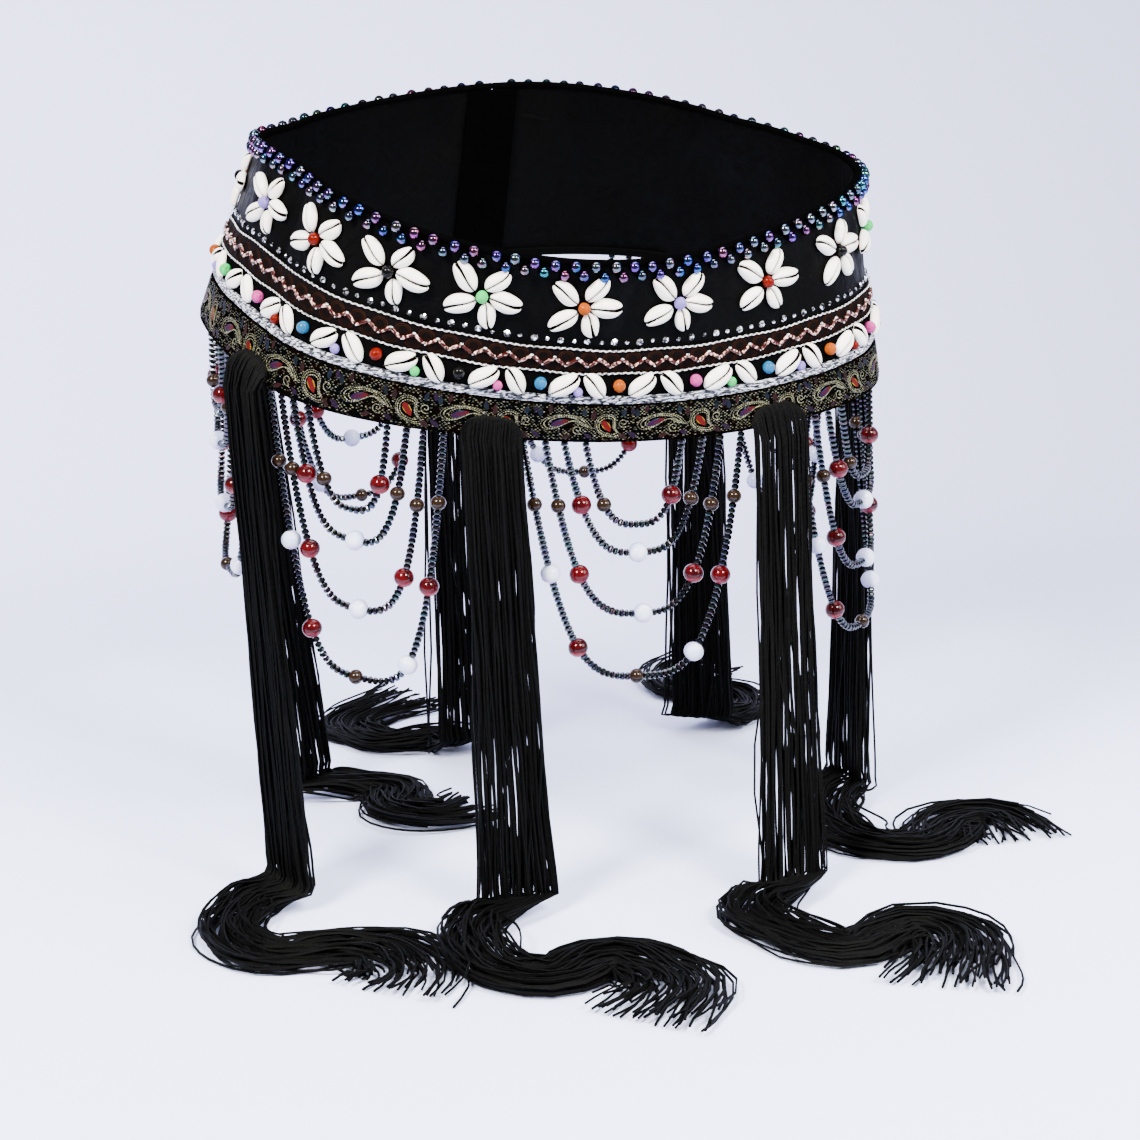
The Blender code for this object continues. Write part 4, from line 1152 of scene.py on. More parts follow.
def make_flowers(sizes):
    """Five cowries round a glossy bead, eighteen times, each its own piece."""
    rng = np.random.default_rng(23)
    shell = cowrie_pattern()
    bead = bead_pattern(20, 12, 0.92, 0.72)
    for name, arc, turn, colour in FLOWERS:
        directions = np.radians(np.array([row[0] for row in PETALS]) + turn)
        count = len(directions)
        tips = np.array([row[1] for row in PETALS]) * sizes.petal_scale * rng.uniform(0.95, 1.05, count)
        half = (tips - 0.0036) / 2
        reach = tips - half
        flat = np.stack([arc + np.cos(directions) * reach, np.sin(directions) * reach,
                         np.full(count, 0.0011)], axis=1)
        swing = rng.uniform(-0.07, 0.07, count)
        place, frames = frames_on_band(flat, "crown", directions - math.pi / 2 + swing)
        girth = (0.45 * half + 0.55 * half.mean()) * rng.uniform(0.97, 1.07, count)
        scale = np.stack([girth * 1.04, half, girth * 1.02], axis=1)
        copies = set_copies(shell, place, frames, scale)
        piece = joined("cowrie_flower_" + name, shell, copies, shell_tones(shell, count, rng), 80.0)
        place_on_belt(piece, "cowrie", "flower_" + name)
        place, frames = frames_on_band([(arc, 0.0, 0.0033)], "crown", np.array([turn * 0.1]))
        copies = set_copies(bead, place, frames, [(0.0033,)])
        tones = per_point([BEAD_COLOURS[colour]], len(bead["points"]))
        heart = joined("flower_bead_" + name, bead, copies, tones)
        place_on_belt(heart, "bead")


def stone_pattern():
    """Round cut stone of unit radius in a low cup: eight facets up to a flat table."""
    deselect()
    bpy.ops.mesh.primitive_cone_add(vertices=8, radius1=1.0, radius2=0.52, depth=0.42,
                                    location=(0.0, 0.0, 0.42))
    piece = bpy.context.active_object
    bpy.ops.object.transform_apply(location=True)
    select_only(piece)
    bpy.ops.object.mode_set(mode="EDIT")
    bpy.ops.mesh.select_all(action="DESELECT")
    bpy.ops.object.mode_set(mode="OBJECT")
    for face in piece.data.polygons:
        face.select = face.normal.z < -0.9
    bpy.ops.object.mode_set(mode="EDIT")
    bpy.ops.mesh.extrude_region_move(TRANSFORM_OT_translate={"value": (0.0, 0.0, -0.24)})
    bpy.ops.mesh.select_all(action="SELECT")
    bpy.ops.mesh.normals_make_consistent(inside=False)
    bpy.ops.object.mode_set(mode="OBJECT")
    return pattern_of(piece)


def make_stones():
    """Row of large and small crystals above the braid."""
    rng = np.random.default_rng(5)
    pattern = stone_pattern()
    start, stop = run_ends("braid_top", 0.006)
    count = int((stop - start) / 0.0138)
    pitch = (stop - start) / count
    arcs = start + (np.arange(2 * count) + 0.5) * pitch / 2
    large = np.arange(2 * count) % 2 == 0
    radius = np.where(large, 0.00185, 0.00115) * rng.uniform(0.92, 1.06, 2 * count)
    flat = np.stack([arcs + rng.uniform(-0.0004, 0.0004, 2 * count),
                     0.0037 + rng.uniform(-0.0004, 0.0004, 2 * count), np.full(2 * count, 0.0002)], axis=1)
    place, turn = frames_on_band(flat, "braid_top", rng.uniform(0, 6.28, 2 * count))
    piece = joined("crystal_row", pattern, set_copies(pattern, place, turn, radius[:, None]), None, 10.0)
    place_on_belt(piece, "crystal")


# -------- trims
def make_cords():
    """Two white twisted cords along the braid's edges."""
    for name, row, shift in (("white_cord_upper", "braid_top", 0.0), ("white_cord_lower", "braid_foot", 1.0)):
        start, stop = run_ends(row, 0.0008)
        arcs = np.linspace(start, stop, 1300)
        turns = arcs * 2 * math.pi
        sway = 0.00030 * np.sin(turns / 0.0034 + shift) + 0.00035 * np.sin(turns / 0.047 + 2 * shift)
        line = on_band(np.stack([arcs, sway, np.full_like(arcs, BRAID_FACE + 0.0006)], axis=1), row)
        piece = curves_to_mesh(name, plies(line, 0.00022, 0.0024, 6), 0.00020)
        place_on_belt(piece, "cord")


def make_braid():
    """Woven brown braid with bugle beads sewn in a zigzag over embroidered rings."""
    start, stop = run_ends("braid_top")
    section = cloth_section(0.012, 0.988, GAP, BRAID_FACE, 0.06, 7)
    piece = long_strip("braid_cloth", 480, section, start, stop, "braid_top", "braid_foot")
    finish_mesh(piece, "braid_cloth", 50.0)
    place_on_belt(piece, "braid", "brown_braid")
    periods = int((stop - start) / ZIGZAG_PITCH)
    pitch = (stop - start - 0.004) / periods
    peaks = start + 0.002 + (np.arange(periods) + 0.5) * pitch
    sew_zigzag(peaks, pitch)
    sew_rings(peaks, pitch, stop - 0.005)


def on_braid(arcs, up, out):
    """Flat points on the braid's middle line, moved up and out."""
    middle = -tall_at("braid_top", "braid_foot", "braid_top", arcs) / 2 - 0.0005
    return np.stack([arcs, middle + up, np.full(len(arcs), BRAID_FACE + out)], axis=1)


def sew_zigzag(peaks, pitch):
    """Bugle beads up and down in turn, a seed bead where they meet."""
    rng = np.random.default_rng(31)
    periods, rise = len(peaks), ZIGZAG_RISE
    flat = np.concatenate([on_braid(peaks + side * pitch / 4, 0.0, 0.0007) for side in (-1, 1)])
    slope = math.atan2(2 * rise, pitch / 2)
    turns = np.concatenate([np.full(periods, slope), np.full(periods, -slope)])
    turns = turns + rng.uniform(-0.06, 0.06, 2 * periods)
    bugle = bugle_pattern()
    place, frames = frames_on_band(flat, "braid_top", turns)
    scales = np.tile((0.0029, 0.00096, 0.00090), (2 * periods, 1)) * rng.uniform(0.94, 1.05, (2 * periods, 1))
    piece = joined("bugle_zigzag", bugle, set_copies(bugle, place, frames, scales), None, 50.0)
    place_on_belt(piece, "copper")

    seed = bead_pattern(8, 6, 1.3)
    joints = np.concatenate([on_braid(peaks, rise + 0.0003, 0.0006),
                             on_braid(peaks + pitch / 2, -rise - 0.0003, 0.0006)])
    place, frames = frames_on_band(joints, "braid_top")
    size = np.repeat([(0.00072, 0.00056, 0.00060), (0.00044, 0.00044, 0.00050)], periods, axis=0)
    piece = joined("zigzag_seeds", seed, set_copies(seed, place, frames, size), None)
    place_on_belt(piece, "cord")


def sew_rings(peaks, pitch, last):
    """Embroidered rings in two sizes, in two staggered rows."""
    deselect()
    bpy.ops.mesh.primitive_torus_add(major_segments=14, minor_segments=3, major_radius=1.0,
                                     minor_radius=0.085)
    ring = pattern_of(bpy.context.active_object)
    flat, radii = [], []
    for radius in (0.0034, 0.0024):
        for shift, up in ((0.5, 0.0024), (0.0, -0.0024)):
            flat.append(on_braid(peaks + shift * pitch, up, 0.0))
            radii.append(np.full(len(peaks), radius))
    flat, radii = np.concatenate(flat), np.concatenate(radii)
    keep = flat[:, 0] < last
    place, frames = frames_on_band(flat[keep], "braid_top")
    radii = radii[keep]
    scales = np.stack([radii * 1.15, radii * 0.92, radii * 0.8], axis=1)
    piece = joined("braid_rings", ring, set_copies(ring, place, frames, scales), None, 60.0)
    place_on_belt(piece, "embroidery")


def bugle_pattern():
    """Short glass tube of unit half length along X, its ends softened."""
    deselect()
    bpy.ops.mesh.primitive_cylinder_add(vertices=8, radius=1.0, depth=2.0, end_fill_type="NGON")
    piece = bpy.context.active_object
    modify(piece, "BEVEL", width=0.16, segments=1, limit_method="ANGLE", angle_limit=math.radians(60))
    set_coordinates(piece, coordinates(piece)[:, (2, 0, 1)])
    return pattern_of(piece)


def make_ribbon():
    """Black ribbon with pairs of leaning cowries, a bead between pairs and one inside each pair."""
    start, stop = run_ends("braid_foot")
    section = cloth_section(0.012, 0.988, GAP, RIBBON_FACE, 0.06, 5)
    piece = long_strip("ribbon_cloth", 480, section, start, stop, "braid_foot", "silver_top")
    finish_mesh(piece, "ribbon_cloth", 50.0)
    place_on_belt(piece, "ribbon", "cowrie_ribbon")

    rng = np.random.default_rng(41)
    run = RUNS["braid_foot"]
    pitch = (run[-1] - run[0]) / PAIR_COUNT
    shell_flat, shell_turn, shell_size, bead_flat, bead_size, bead_tone = [], [], [], [], [], []
    for i in range(PAIR_COUNT):
        base = FIRST_PAIR_BEAD + (i - PAIR_COUNT // 2) * pitch
        large, small = RIBBON_BEADS[i]
        middle = -float(tall_at("braid_foot", "silver_top", "braid_foot", base + pitch / 2)) / 2
        if start + 0.005 < base < stop - 0.005:
            bead_flat.append((base, middle + 0.0002, RIBBON_FACE + 0.0024))
            bead_size.append(0.0033)
            bead_tone.append(BEAD_COLOURS[large])
        if small and start + 0.005 < base + 0.484 * pitch < stop - 0.005:
            bead_flat.append((base + 0.484 * pitch, middle - 0.0036, RIBBON_FACE + 0.0021))
            bead_size.append(0.0026)
            bead_tone.append(BEAD_COLOURS[small])
        for offset, lean, half in ((0.303, -53, 0.0086), (0.695, 43, 0.0079)):
            if start + 0.009 < base + offset * pitch < stop - 0.009:
                shell_flat.append((base + offset * pitch, middle - 0.0003, RIBBON_FACE + 0.0010))
                shell_turn.append(math.radians(lean + rng.uniform(-5, 5)))
                shell_size.append(half * rng.uniform(0.96, 1.05))
    shell = cowrie_pattern()
    place, frames = frames_on_band(shell_flat, "braid_foot", np.array(shell_turn))
    size = np.array(shell_size)
    copies = set_copies(shell, place, frames, np.stack([size * 1.04, size, size * 0.95], axis=1))
    piece = joined("ribbon_cowries", shell, copies, shell_tones(shell, len(place), rng), 80.0)
    place_on_belt(piece, "cowrie")
    bead = bead_pattern(20, 12, 0.94, 0.74)
    place, frames = frames_on_band(bead_flat, "braid_foot", rng.uniform(-0.5, 0.5, len(bead_flat)))
    copies = set_copies(bead, place, frames, np.array(bead_size)[:, None])
    piece = joined("ribbon_beads", bead, copies, per_point(bead_tone, len(bead["points"])))
    place_on_belt(piece, "bead")


def make_silver():
    """Silver ribbon, creased across where the belt bends."""
    start, stop = run_ends("silver_top")
    section = cloth_section(0.12, 0.97, GAP, SILVER_FACE, 0.12, 6)
    piece = long_strip("silver_cloth", 900, section, start, stop, "silver_top", "silver_foot")
    points = coordinates(piece)
    rng = np.random.default_rng(53)
    spots = rng.uniform(-math.pi, math.pi, 64)
    depth = rng.uniform(0.00015, 0.00055, 64)
    wide = rng.uniform(0.004, 0.011, 64)
    angle = np.arctan2(points[:, 0], -points[:, 1])
    push = -(depth * np.exp(-((angle[:, None] - spots) / wide) ** 2)).sum(axis=1)
    level = np.stack([np.sin(angle), -np.cos(angle), np.zeros_like(angle)], axis=1)
    set_coordinates(piece, points + level * np.maximum(push, -0.0007)[:, None])
    finish_mesh(piece, "silver_cloth", 50.0)
    place_on_belt(piece, "silver", "silver_ribbon")


COMMA = (
    # along, up in metres: outline of a comma that lies on its side, its tail running out to the right
    (-0.0078, -0.0018), (-0.0068, 0.0008), (-0.0038, 0.0026), (0.0000, 0.0038), (0.0042, 0.0037),
    (0.0080, 0.0030), (0.0116, 0.0008), (0.0142, -0.0028), (0.0112, -0.0010), (0.0078, 0.0008),
    (0.0046, 0.0004), (0.0016, -0.0016), (-0.0018, -0.0036), (-0.0056, -0.0040),
)
DROP = (
    # the same for the plump comma between them
    (-0.0040, 0.0030), (-0.0020, 0.0056), (0.0012, 0.0064), (0.0040, 0.0050), (0.0046, 0.0016),
    (0.0052, -0.0018), (0.0074, -0.0046), (0.0052, -0.0060), (0.0018, -0.0054), (-0.0012, -0.0042),
    (-0.0038, -0.0012),
)
LENS = ((-0.5, 0.0), (-0.36, 0.115), (-0.10, 0.17), (0.18, 0.15), (0.40, 0.06), (0.5, 0.0),
        (0.38, -0.07), (0.12, -0.15), (-0.14, -0.17), (-0.38, -0.11))
LEAF = ((0.0, -0.5), (0.22, -0.1), (0.15, 0.22), (0.0, 0.5), (-0.15, 0.22), (-0.22, -0.1))
COOL = ((0.009, 0.001, 0.022), (0.004, 0.002, 0.055), (0.002, 0.026, 0.055), (0.055, 0.0004, 0.001))
WARM = ((0.075, 0.0008, 0.0006), (0.280, 0.180, 0.0060), (0.240, 0.130, 0.0040), (0.085, 0.0010, 0.0008))
DARK_RED, DARK_BLUE, PLUM = (0.0095, 0.0005, 0.0005), (0.0008, 0.0034, 0.0090), (0.0055, 0.0006, 0.0088)
SILVERY, YELLOWISH = (1.05, 1.08, 1.0), (0.95, 0.96, 0.56)
BROCADE_TALL = 0.0245               # height that the trim's pattern is drawn for
STITCH_MARGIN, STITCH_CELL = 0.0006, 0.0012
PADS = (
    # outline, place in its repeat, threads, length and width of the pad, tilt in degrees, shift of the pad,
    # middle of the curl beside it, radius kept free of ground stitches
    (COMMA, (0.0, 0.0132), COOL, 0.0098, 0.0100, 22, (-0.0004, -0.0004), (0.0094, -0.0046), 0.0040),
    (DROP, (0.0236, 0.0108), WARM, 0.0084, 0.0110, -56, (0.0006, 0.0002), (0.0096, 0.0022), 0.0046),
)
LEAVES = (
    # along and up in its repeat, turn, size, thread
    (-0.0110, 0.0190, 0.10, 0.0060, DARK_BLUE), (-0.0060, 0.0212, -0.15, 0.0054, DARK_RED),
    (0.0120, 0.0196, 0.20, 0.0058, DARK_BLUE), (0.0168, 0.0180, 0.0, 0.0064, DARK_RED),
    (0.0330, 0.0196, -0.1, 0.0056, DARK_BLUE), (0.0375, 0.0206, 0.1, 0.0054, PLUM),
    (-0.0125, 0.0052, 0.9, 0.0064, PLUM), (0.0040, 0.0040, -1.1, 0.0056, DARK_RED),
    (0.0150, 0.0048, 1.0, 0.0052, PLUM), (0.0330, 0.0046, 0.9, 0.0066, DARK_RED),
)


def closed_line(controls, count):
    """Even points round a smooth closed curve."""
    controls = np.asarray(controls, dtype=float)
    looped = np.vstack([controls[-1:], controls, controls[:2]])
    path = []
    for i in range(1, len(looped) - 2):
        path += stretch_points(*looped[i - 1:i + 3], 10)
    path = np.array(path + path[:1])
    along = run_along(path)
    stops = np.linspace(0.0, along[-1], count, endpoint=False)
    return np.stack([np.interp(stops, along, path[:, i]) for i in range(2)], axis=1)


def pad_pattern(outline):
    """Raised pad with a flat outline, modelled as a filled curve."""
    curve = bpy.data.curves.new("pad", "CURVE")
    curve.dimensions = "2D"
    curve.fill_mode = "BOTH"
    curve.extrude = 0.02
    add_line(curve, np.column_stack([outline, np.zeros(len(outline))]), closed=True)
    piece = mesh_of(curve)
    seal(piece, 1e-5, fill=False)
    drop_uv(piece)
    return pattern_of(piece)


def turned(flat, angle):
    c, s = math.cos(angle), math.sin(angle)
    return np.stack([flat[:, 0] * c - flat[:, 1] * s, flat[:, 0] * s + flat[:, 1] * c], axis=1)


def brocade_layout(rng, lens, leaf, pairs):
    """Flat pads and leaves with their thread tones, stitch lines, and the places kept free of other stitches.

    Up runs from the hem; a line comes with the gap between its stitches and their brightness.
    """
    run = RUNS["hem"]
    pitch = (run[-1] - run[0]) / pairs
    step = np.clip(((lens["points"][:, 0] + 0.5) * 4).astype(int), 0, 3)
    turns = np.linspace(0.10, 1.0, 40)[:, None]
    curl = turns * 0.0030 * np.concatenate([np.cos(turns * 9.4 + 2.2), np.sin(turns * 9.4 + 2.2)], axis=1)
    pads, pad_tones, leaves, leaf_tones, lines, kept_clear = [], [], [], [], [], []
    for i in range(pairs):
        base = run[0] + (i + 0.27) * pitch
        for shape, offset, threads, long, wide, tilt, lift, hub, clear in PADS:
            middle = np.array([base + offset[0], offset[1]])
            if not run[0] + 0.010 < middle[0] < run[-1] - 0.016:
                continue
            body = lens["points"] * (long, wide, 0.014)
            place = turned(body[:, :2], math.radians(tilt)) + middle + lift
            pads.append(np.column_stack([place, PAISLEY_FACE + 0.0001 + body[:, 2]]))
            pad_tones.append(np.array(threads)[step])
            outline = closed_line(shape, 200)
            heart = outline.mean(axis=0)
            kept_clear.append((middle + heart, clear))
            for grow, bright in ((0.84, 0.55), (1.06, 0.75), (1.22, 0.30)):
                lines.append((heart + (outline - heart) * grow + middle, 0.00130, bright))
            lines.append((middle + hub + curl, 0.00110, 0.55))
        for dx, dy, tilt, size, tone in LEAVES:
            body = leaf["points"] * (size, size, 0.008)
            place = turned(body[:, :2], tilt) + (base + dx, dy)
            if run[0] + 0.006 < base + dx < run[-1] - 0.006:
                leaves.append(np.column_stack([place, PAISLEY_FACE + 0.0001 + body[:, 2]]))
                leaf_tones.append(np.tile(np.array(tone) * rng.uniform(0.6, 1.3), (len(body), 1)))
                kept_clear.append((np.array([base + dx, dy]), 0.0014))
    return pads, pad_tones, leaves, leaf_tones, lines, kept_clear


def drawn_out(points):
    """Points laid out for a trim of one height, fitted to its height at each place."""
    points = points.copy()
    points[:, 1] *= tall_at("silver_foot", "hem", "hem", points[:, 0]) / BROCADE_TALL
    return points


def line_stitches(line, gap, bright):
    """Stitches along a line: along, up, angle and brightness of each."""
    along = run_along(line)
    stops = np.arange(gap / 2, along[-1], gap)
    place, ahead = (np.stack([np.interp(stops + s, along, line[:, k]) for k in (0, 1)], axis=1)
                    for s in (0.0, 0.0003))
    angle = np.arctan2(ahead[:, 1] - place[:, 1], ahead[:, 0] - place[:, 0])
    return np.column_stack([place, angle, np.full(len(place), bright)])


def ground_stitches(rng, outlines, kept_clear):
    """Loose rows of stitches over the ground, clear of the outlines, pads and leaves."""
    run = RUNS["hem"]
    rows = np.arange(0.0026, BROCADE_TALL - STITCH_MARGIN, 0.00102)
    across = np.arange(run[0] + 0.002, run[-1] - 0.002, 0.00215)
    dash = np.stack(np.meshgrid(across, rows), axis=2)
    dash[::2, :, 0] += 0.0010
    dash = dash.reshape(-1, 2) + rng.uniform(-0.00022, 0.00022, (dash.shape[0] * dash.shape[1], 2))
    dash = dash[rng.random(len(dash)) < 0.62]
    taken = {(int(x / STITCH_CELL), int(y / STITCH_CELL)) for x, y in outlines[:, :2]}
    clear = np.array([(int(x / STITCH_CELL), int(y / STITCH_CELL)) not in taken for x, y in dash])
    for middle, radius in kept_clear:
        clear &= np.hypot(dash[:, 0] - middle[0], dash[:, 1] - middle[1]) >= radius
    dash = dash[clear]
    return np.column_stack([dash, rng.normal(0.0, 0.12, len(dash)), rng.uniform(0.10, 0.42, len(dash))])


def sew_gold(rng, lines, kept_clear):
    """Pale gold stitches of the trim, all one piece."""
    run = RUNS["hem"]
    outlines = np.concatenate([line_stitches(*line) for line in lines])
    flat = np.concatenate([outlines, ground_stitches(rng, outlines, kept_clear)])
    keep = (flat[:, 0] > run[0] + 0.002) & (flat[:, 0] < run[-1] - 0.002) \
        & (flat[:, 1] > 0.0022) & (flat[:, 1] < BROCADE_TALL - STITCH_MARGIN)
    flat = flat[keep]
    stitch = bead_pattern(4, 2, 1.0, 1.0)
    places = drawn_out(np.column_stack([flat[:, :2], np.full(len(flat), PAISLEY_FACE + 0.00012)]))
    place, frames = frames_on_band(places, "hem", flat[:, 2])
    scales = np.array([(0.00064, 0.00031, 0.00024)]) * rng.uniform(0.72, 1.05, (len(flat), 1))
    bright = flat[:, 3:4] * rng.choice([1.0, 0.6, 0.25], (len(flat), 1), p=[0.4, 0.3, 0.3])
    hue = np.where(rng.random((len(flat), 1)) < 0.25, [SILVERY], [YELLOWISH])
    piece = joined("gold_stitches", stitch, set_copies(stitch, place, frames, scales),
                   per_point(bright * hue, len(stitch["points"])), 80.0)
    place_on_belt(piece, "gold")


def make_brocade(sizes):
    """Dark brocade trim: ground cloth, satin-filled commas and leaves, and pale gold stitch lines."""
    start, stop = run_ends("silver_foot")
    section = cloth_section(0.008, 0.985, GAP, PAISLEY_FACE, 0.04, 9,
                            lambda u: 0.0005 * math.exp(-((u - 0.955) / 0.022) ** 2))
    piece = long_strip("brocade_cloth", 480, section, start, stop, "silver_foot", "hem")
    finish_mesh(piece, "brocade_cloth", 50.0)
    place_on_belt(piece, "brocade", "paisley_trim")
    rng = np.random.default_rng(61)
    lens, leaf = pad_pattern(closed_line(LENS, 18)), pad_pattern(closed_line(LEAF, 12))
    pads, pad_tones, leaves, leaf_tones, lines, kept_clear = brocade_layout(rng, lens, leaf, sizes.comma_pairs)
    for name, pattern, flat, tones in (("brocade_commas", lens, pads, pad_tones),
                                       ("brocade_leaves", leaf, leaves, leaf_tones)):
        copies = on_band(drawn_out(np.concatenate(flat)), "hem").reshape(len(flat), -1, 3)
        piece = joined(name, pattern, copies, np.array(tones), 30.0)
        place_on_belt(piece, "satin")
    sew_gold(rng, lines, kept_clear)


# -------- tassels
def tassel_route(arc, lay):
    """Middle line of a tassel from the hem to its ends, with the hem's direction there."""
    skin = PAISLEY_FACE + TASSEL_LIFT
    hem = on_band([(arc, 0.0, skin)], "hem")[0]
    ahead, behind = (on_band([(arc + s, 0.0, skin)], "hem")[0] for s in (0.006, -0.006))
    tangent = (ahead - behind) * (1, 1, 0)
    tangent /= np.linalg.norm(tangent)
    out = np.array([tangent[1], -tangent[0], 0.0])
    middle = np.array([hem[0], hem[1], hem[2] - HEAD_DROP]) + out * 0.0040
    floor = FLOOR + 0.0070
    landing = np.array([middle[0] + lay[0][0], middle[1] - lay[0][1], floor + 0.003])
    rest = [(middle[0] + x, middle[1] - y, floor) for x, y in lay[1:]]
    above = landing + (middle - landing) * 0.02
    curve = smooth_line([above, landing] + rest, 14)
    fall = np.linspace(middle, curve[0], 22)[:-1]
    return np.vstack([fall, curve]), tangent, out, len(fall) + 14


def tassel_path(arc, lay, yarn_points):
    """Middle line of a tassel with its side and lift directions, and how far along the drop and heap it is."""
    route, tangent, out, landing = tassel_route(arc, lay)
    along = run_along(route)
    ground, end = along[landing], along[-1]
    sparse = np.linspace(0.0, ground * 0.90, 9)
    stops = np.concatenate([sparse[:-1], np.linspace(sparse[-1], end, yarn_points)])
    middle = at_runs(route, stops)
    level = unit(np.gradient(middle, axis=0)) * (1, 1, 0)
    heading = np.unwrap(np.arctan2(level[:, 0], -level[:, 1]))
    first = int(np.argmax(stops > ground + 0.004))
    heading[:first] = heading[first]
    begin = math.atan2(tangent[1], tangent[0])
    begin += round((heading[first] - begin) / math.pi) * math.pi
    on_floor = np.clip((stops - ground) / 0.03, 0.0, 1.0)
    heading = begin + (heading - begin) * on_floor * on_floor * (3 - 2 * on_floor)
    side = np.stack([np.cos(heading), np.sin(heading), np.zeros_like(heading)], axis=1)
    lift = unit(out * (1 - on_floor)[:, None] + np.array([0.0, 0.0, 1.0]) * on_floor[:, None])
    travel = np.clip((stops - ground) / (end - ground), 0.0, 1.0)
    return stops, end, middle, side, lift, on_floor, travel, np.clip(stops / ground, 0.0, 1.0)


def hang_yarn(rng, path, share, layer):
    """One yarn's line below the hem, by its shares across the tassel and from back to front."""
    stops, end, middle, side, lift, on_floor, travel, fallen = path
    hanging = 1 - on_floor
    loose = 1.0 + 2.6 * (rng.random() < 0.10)
    phase = rng.uniform(0, 6.28, 8)
    reach = end * (1.0 - 0.09 * rng.random() ** 1.5)
    wander = 0.0007 * np.sin(stops * 30 + phase[0]) + 0.0005 * np.sin(stops * 63 + phase[1])
    wander = wander * np.clip(stops / 0.08, 0, 1) * loose
    heap = (0.0034 * np.sin(stops * 46 + phase[2]) + 0.0022 * np.sin(stops * 88 + phase[3])) * on_floor
    fan = share * 0.018 * travel ** 3
    stray = np.sign(share) * rng.uniform(0.002, 0.012) * (rng.random() < 0.08) * fallen ** 0.7
    spread = share * TASSEL_WIDTH / 2 * (1.0 + 0.28 * fallen ** 2) * (1.0 - 0.16 * on_floor)
    shift = spread + wander + heap * min(loose, 1.7) * 0.8 + fan + stray * hanging
    rise = layer * (0.0030 * hanging + 0.0062 * on_floor)
    rise = rise + 0.0008 * np.sin(stops * 40 + phase[4]) * hanging
    waves = 0.0026 * np.sin(stops * 66 + phase[5]) + 0.0018 * np.sin(stops * 31 + phase[6])
    line = middle + side * shift[:, None] + lift * (rise + waves * on_floor)[:, None]
    slump = on_floor * np.clip(travel * 3.0, 0.0, 1.0)
    thin = FLOOR + 0.0009 + np.abs(line[:, 2] - FLOOR) * (1.0 - 0.55 * slump)
    line[:, 2] = np.maximum(np.where(on_floor > 0, thin, line[:, 2]), FLOOR + 0.0007)
    return line[stops <= reach]


def make_tassel(sizes, name, arc, lay, seed):
    """Loose black yarns, gathered over the trim, that drop to the floor and lie in a heap along it."""
    rng = np.random.default_rng(seed)
    path = tassel_path(arc, lay, sizes.yarn_points)
    shares = (np.arange(sizes.yarns) * 0.61803) % 1.0 * 2 - 1
    skin = PAISLEY_FACE + TASSEL_LIFT
    lines = []
    for share, layer in zip(shares, rng.uniform(-1, 1, sizes.yarns)):
        x, thick = share * TASSEL_WIDTH / 2, (layer + 1) * 0.0016
        root = on_band([(arc + x, head_top(x) * 0.94 - 0.0004, skin + 0.2 * thick),
                        (arc + x, head_top(x) * 0.62, skin + 0.8 * thick + 0.0006),
                        (arc + x, 0.0010, skin + thick + 0.0014)], "hem")
        lines.append(np.vstack([root, hang_yarn(rng, path, share, layer)]))
    piece = curves_to_mesh("tassel_yarns_" + name, lines, sizes.yarn_radius)
    place_on_belt(piece, "yarn", "tassel_" + name)


def head_top(x):
    """Height of a tassel head's arch above the hem, x across from its middle."""
    return HEAD_RISE * (1.0 - np.abs(x / (TASSEL_WIDTH / 2 + 0.0012)) ** 3.6) ** 0.6


def tassel_head(name, arc, seed):
    """Soft arched pad of yarn that gathers a tassel on the trim."""
    rng = np.random.default_rng(seed)
    piece, share = grid("tassel_head_" + name, 28, 9)
    across = share[:, 0] * 2 - 1
    x = across * (TASSEL_WIDTH / 2 - 0.0002)
    phase = rng.uniform(0, 6.28, 6)
    ragged = sum(0.00035 * np.sin(x * wave_length + p) for wave_length, p in zip((900, 1700, 3100), phase))
    top = head_top(x) + ragged * (1.0 - across ** 2)
    foot = 0.0012
    up = foot + (top - foot) * share[:, 1]
    edge = np.clip(1.0 - np.abs(across) ** 3.0, 0.0, 1.0) ** 0.5
    crown = np.clip((top - up) / 0.0055, 0.0, 1.0) ** 0.5
    strands = 0.00022 * np.sin(x * 5200 + 1.6 * np.sin(up * 160)) * np.clip((top - up) / 0.004, 0.0, 1.0)
    out = PAISLEY_FACE + 0.0006 + 0.0030 * edge * crown + strands
    set_coordinates(piece, on_band(np.stack([arc + x, up, out], axis=1), "hem"))
    thicken(piece, PAD_THICK)
    finish_mesh(piece, "tassel_head_" + name, 60.0)
    place_on_belt(piece, "yarn")


# -------- bead loops
def bays():
    """Hem arcs of the free stretches between tassels."""
    centres = sorted(row[1] for row in TASSELS)
    run = RUNS["hem"]
    centres.append(centres[0] + run[-1] - run[0])
    return [(left + TASSEL_WIDTH / 2, min(right - TASSEL_WIDTH / 2, run[-1] - SEAM_CLEAR))
            for left, right in zip(centres, centres[1:])]


def hang_strand(rng, centre, half, depth):
    """Line of a strand that hangs behind the hem, and its place across as shares from -1 to 1."""
    behind = -PANEL_THICK - GAP - TAPE_THICK / 2
    u = np.linspace(-1, 1, 401)
    ends = on_band([(centre - half, 0.0012, behind), (centre + half, 0.0012, behind)], "hem")
    line = on_band(np.stack([centre + u * half, np.full_like(u, 0.0), np.full_like(u, behind)], axis=1), "hem")
    chord = ends[0, 2] + (ends[1, 2] - ends[0, 2]) * (u + 1) / 2
    line[:, 0] += 0.0006 * np.sin(5 * u + rng.uniform(0, 6.28)) * (1 - u * u)
    line[:, 2] = chord - depth * (1 - np.abs(u) ** SAG_POWER)
    return line, u


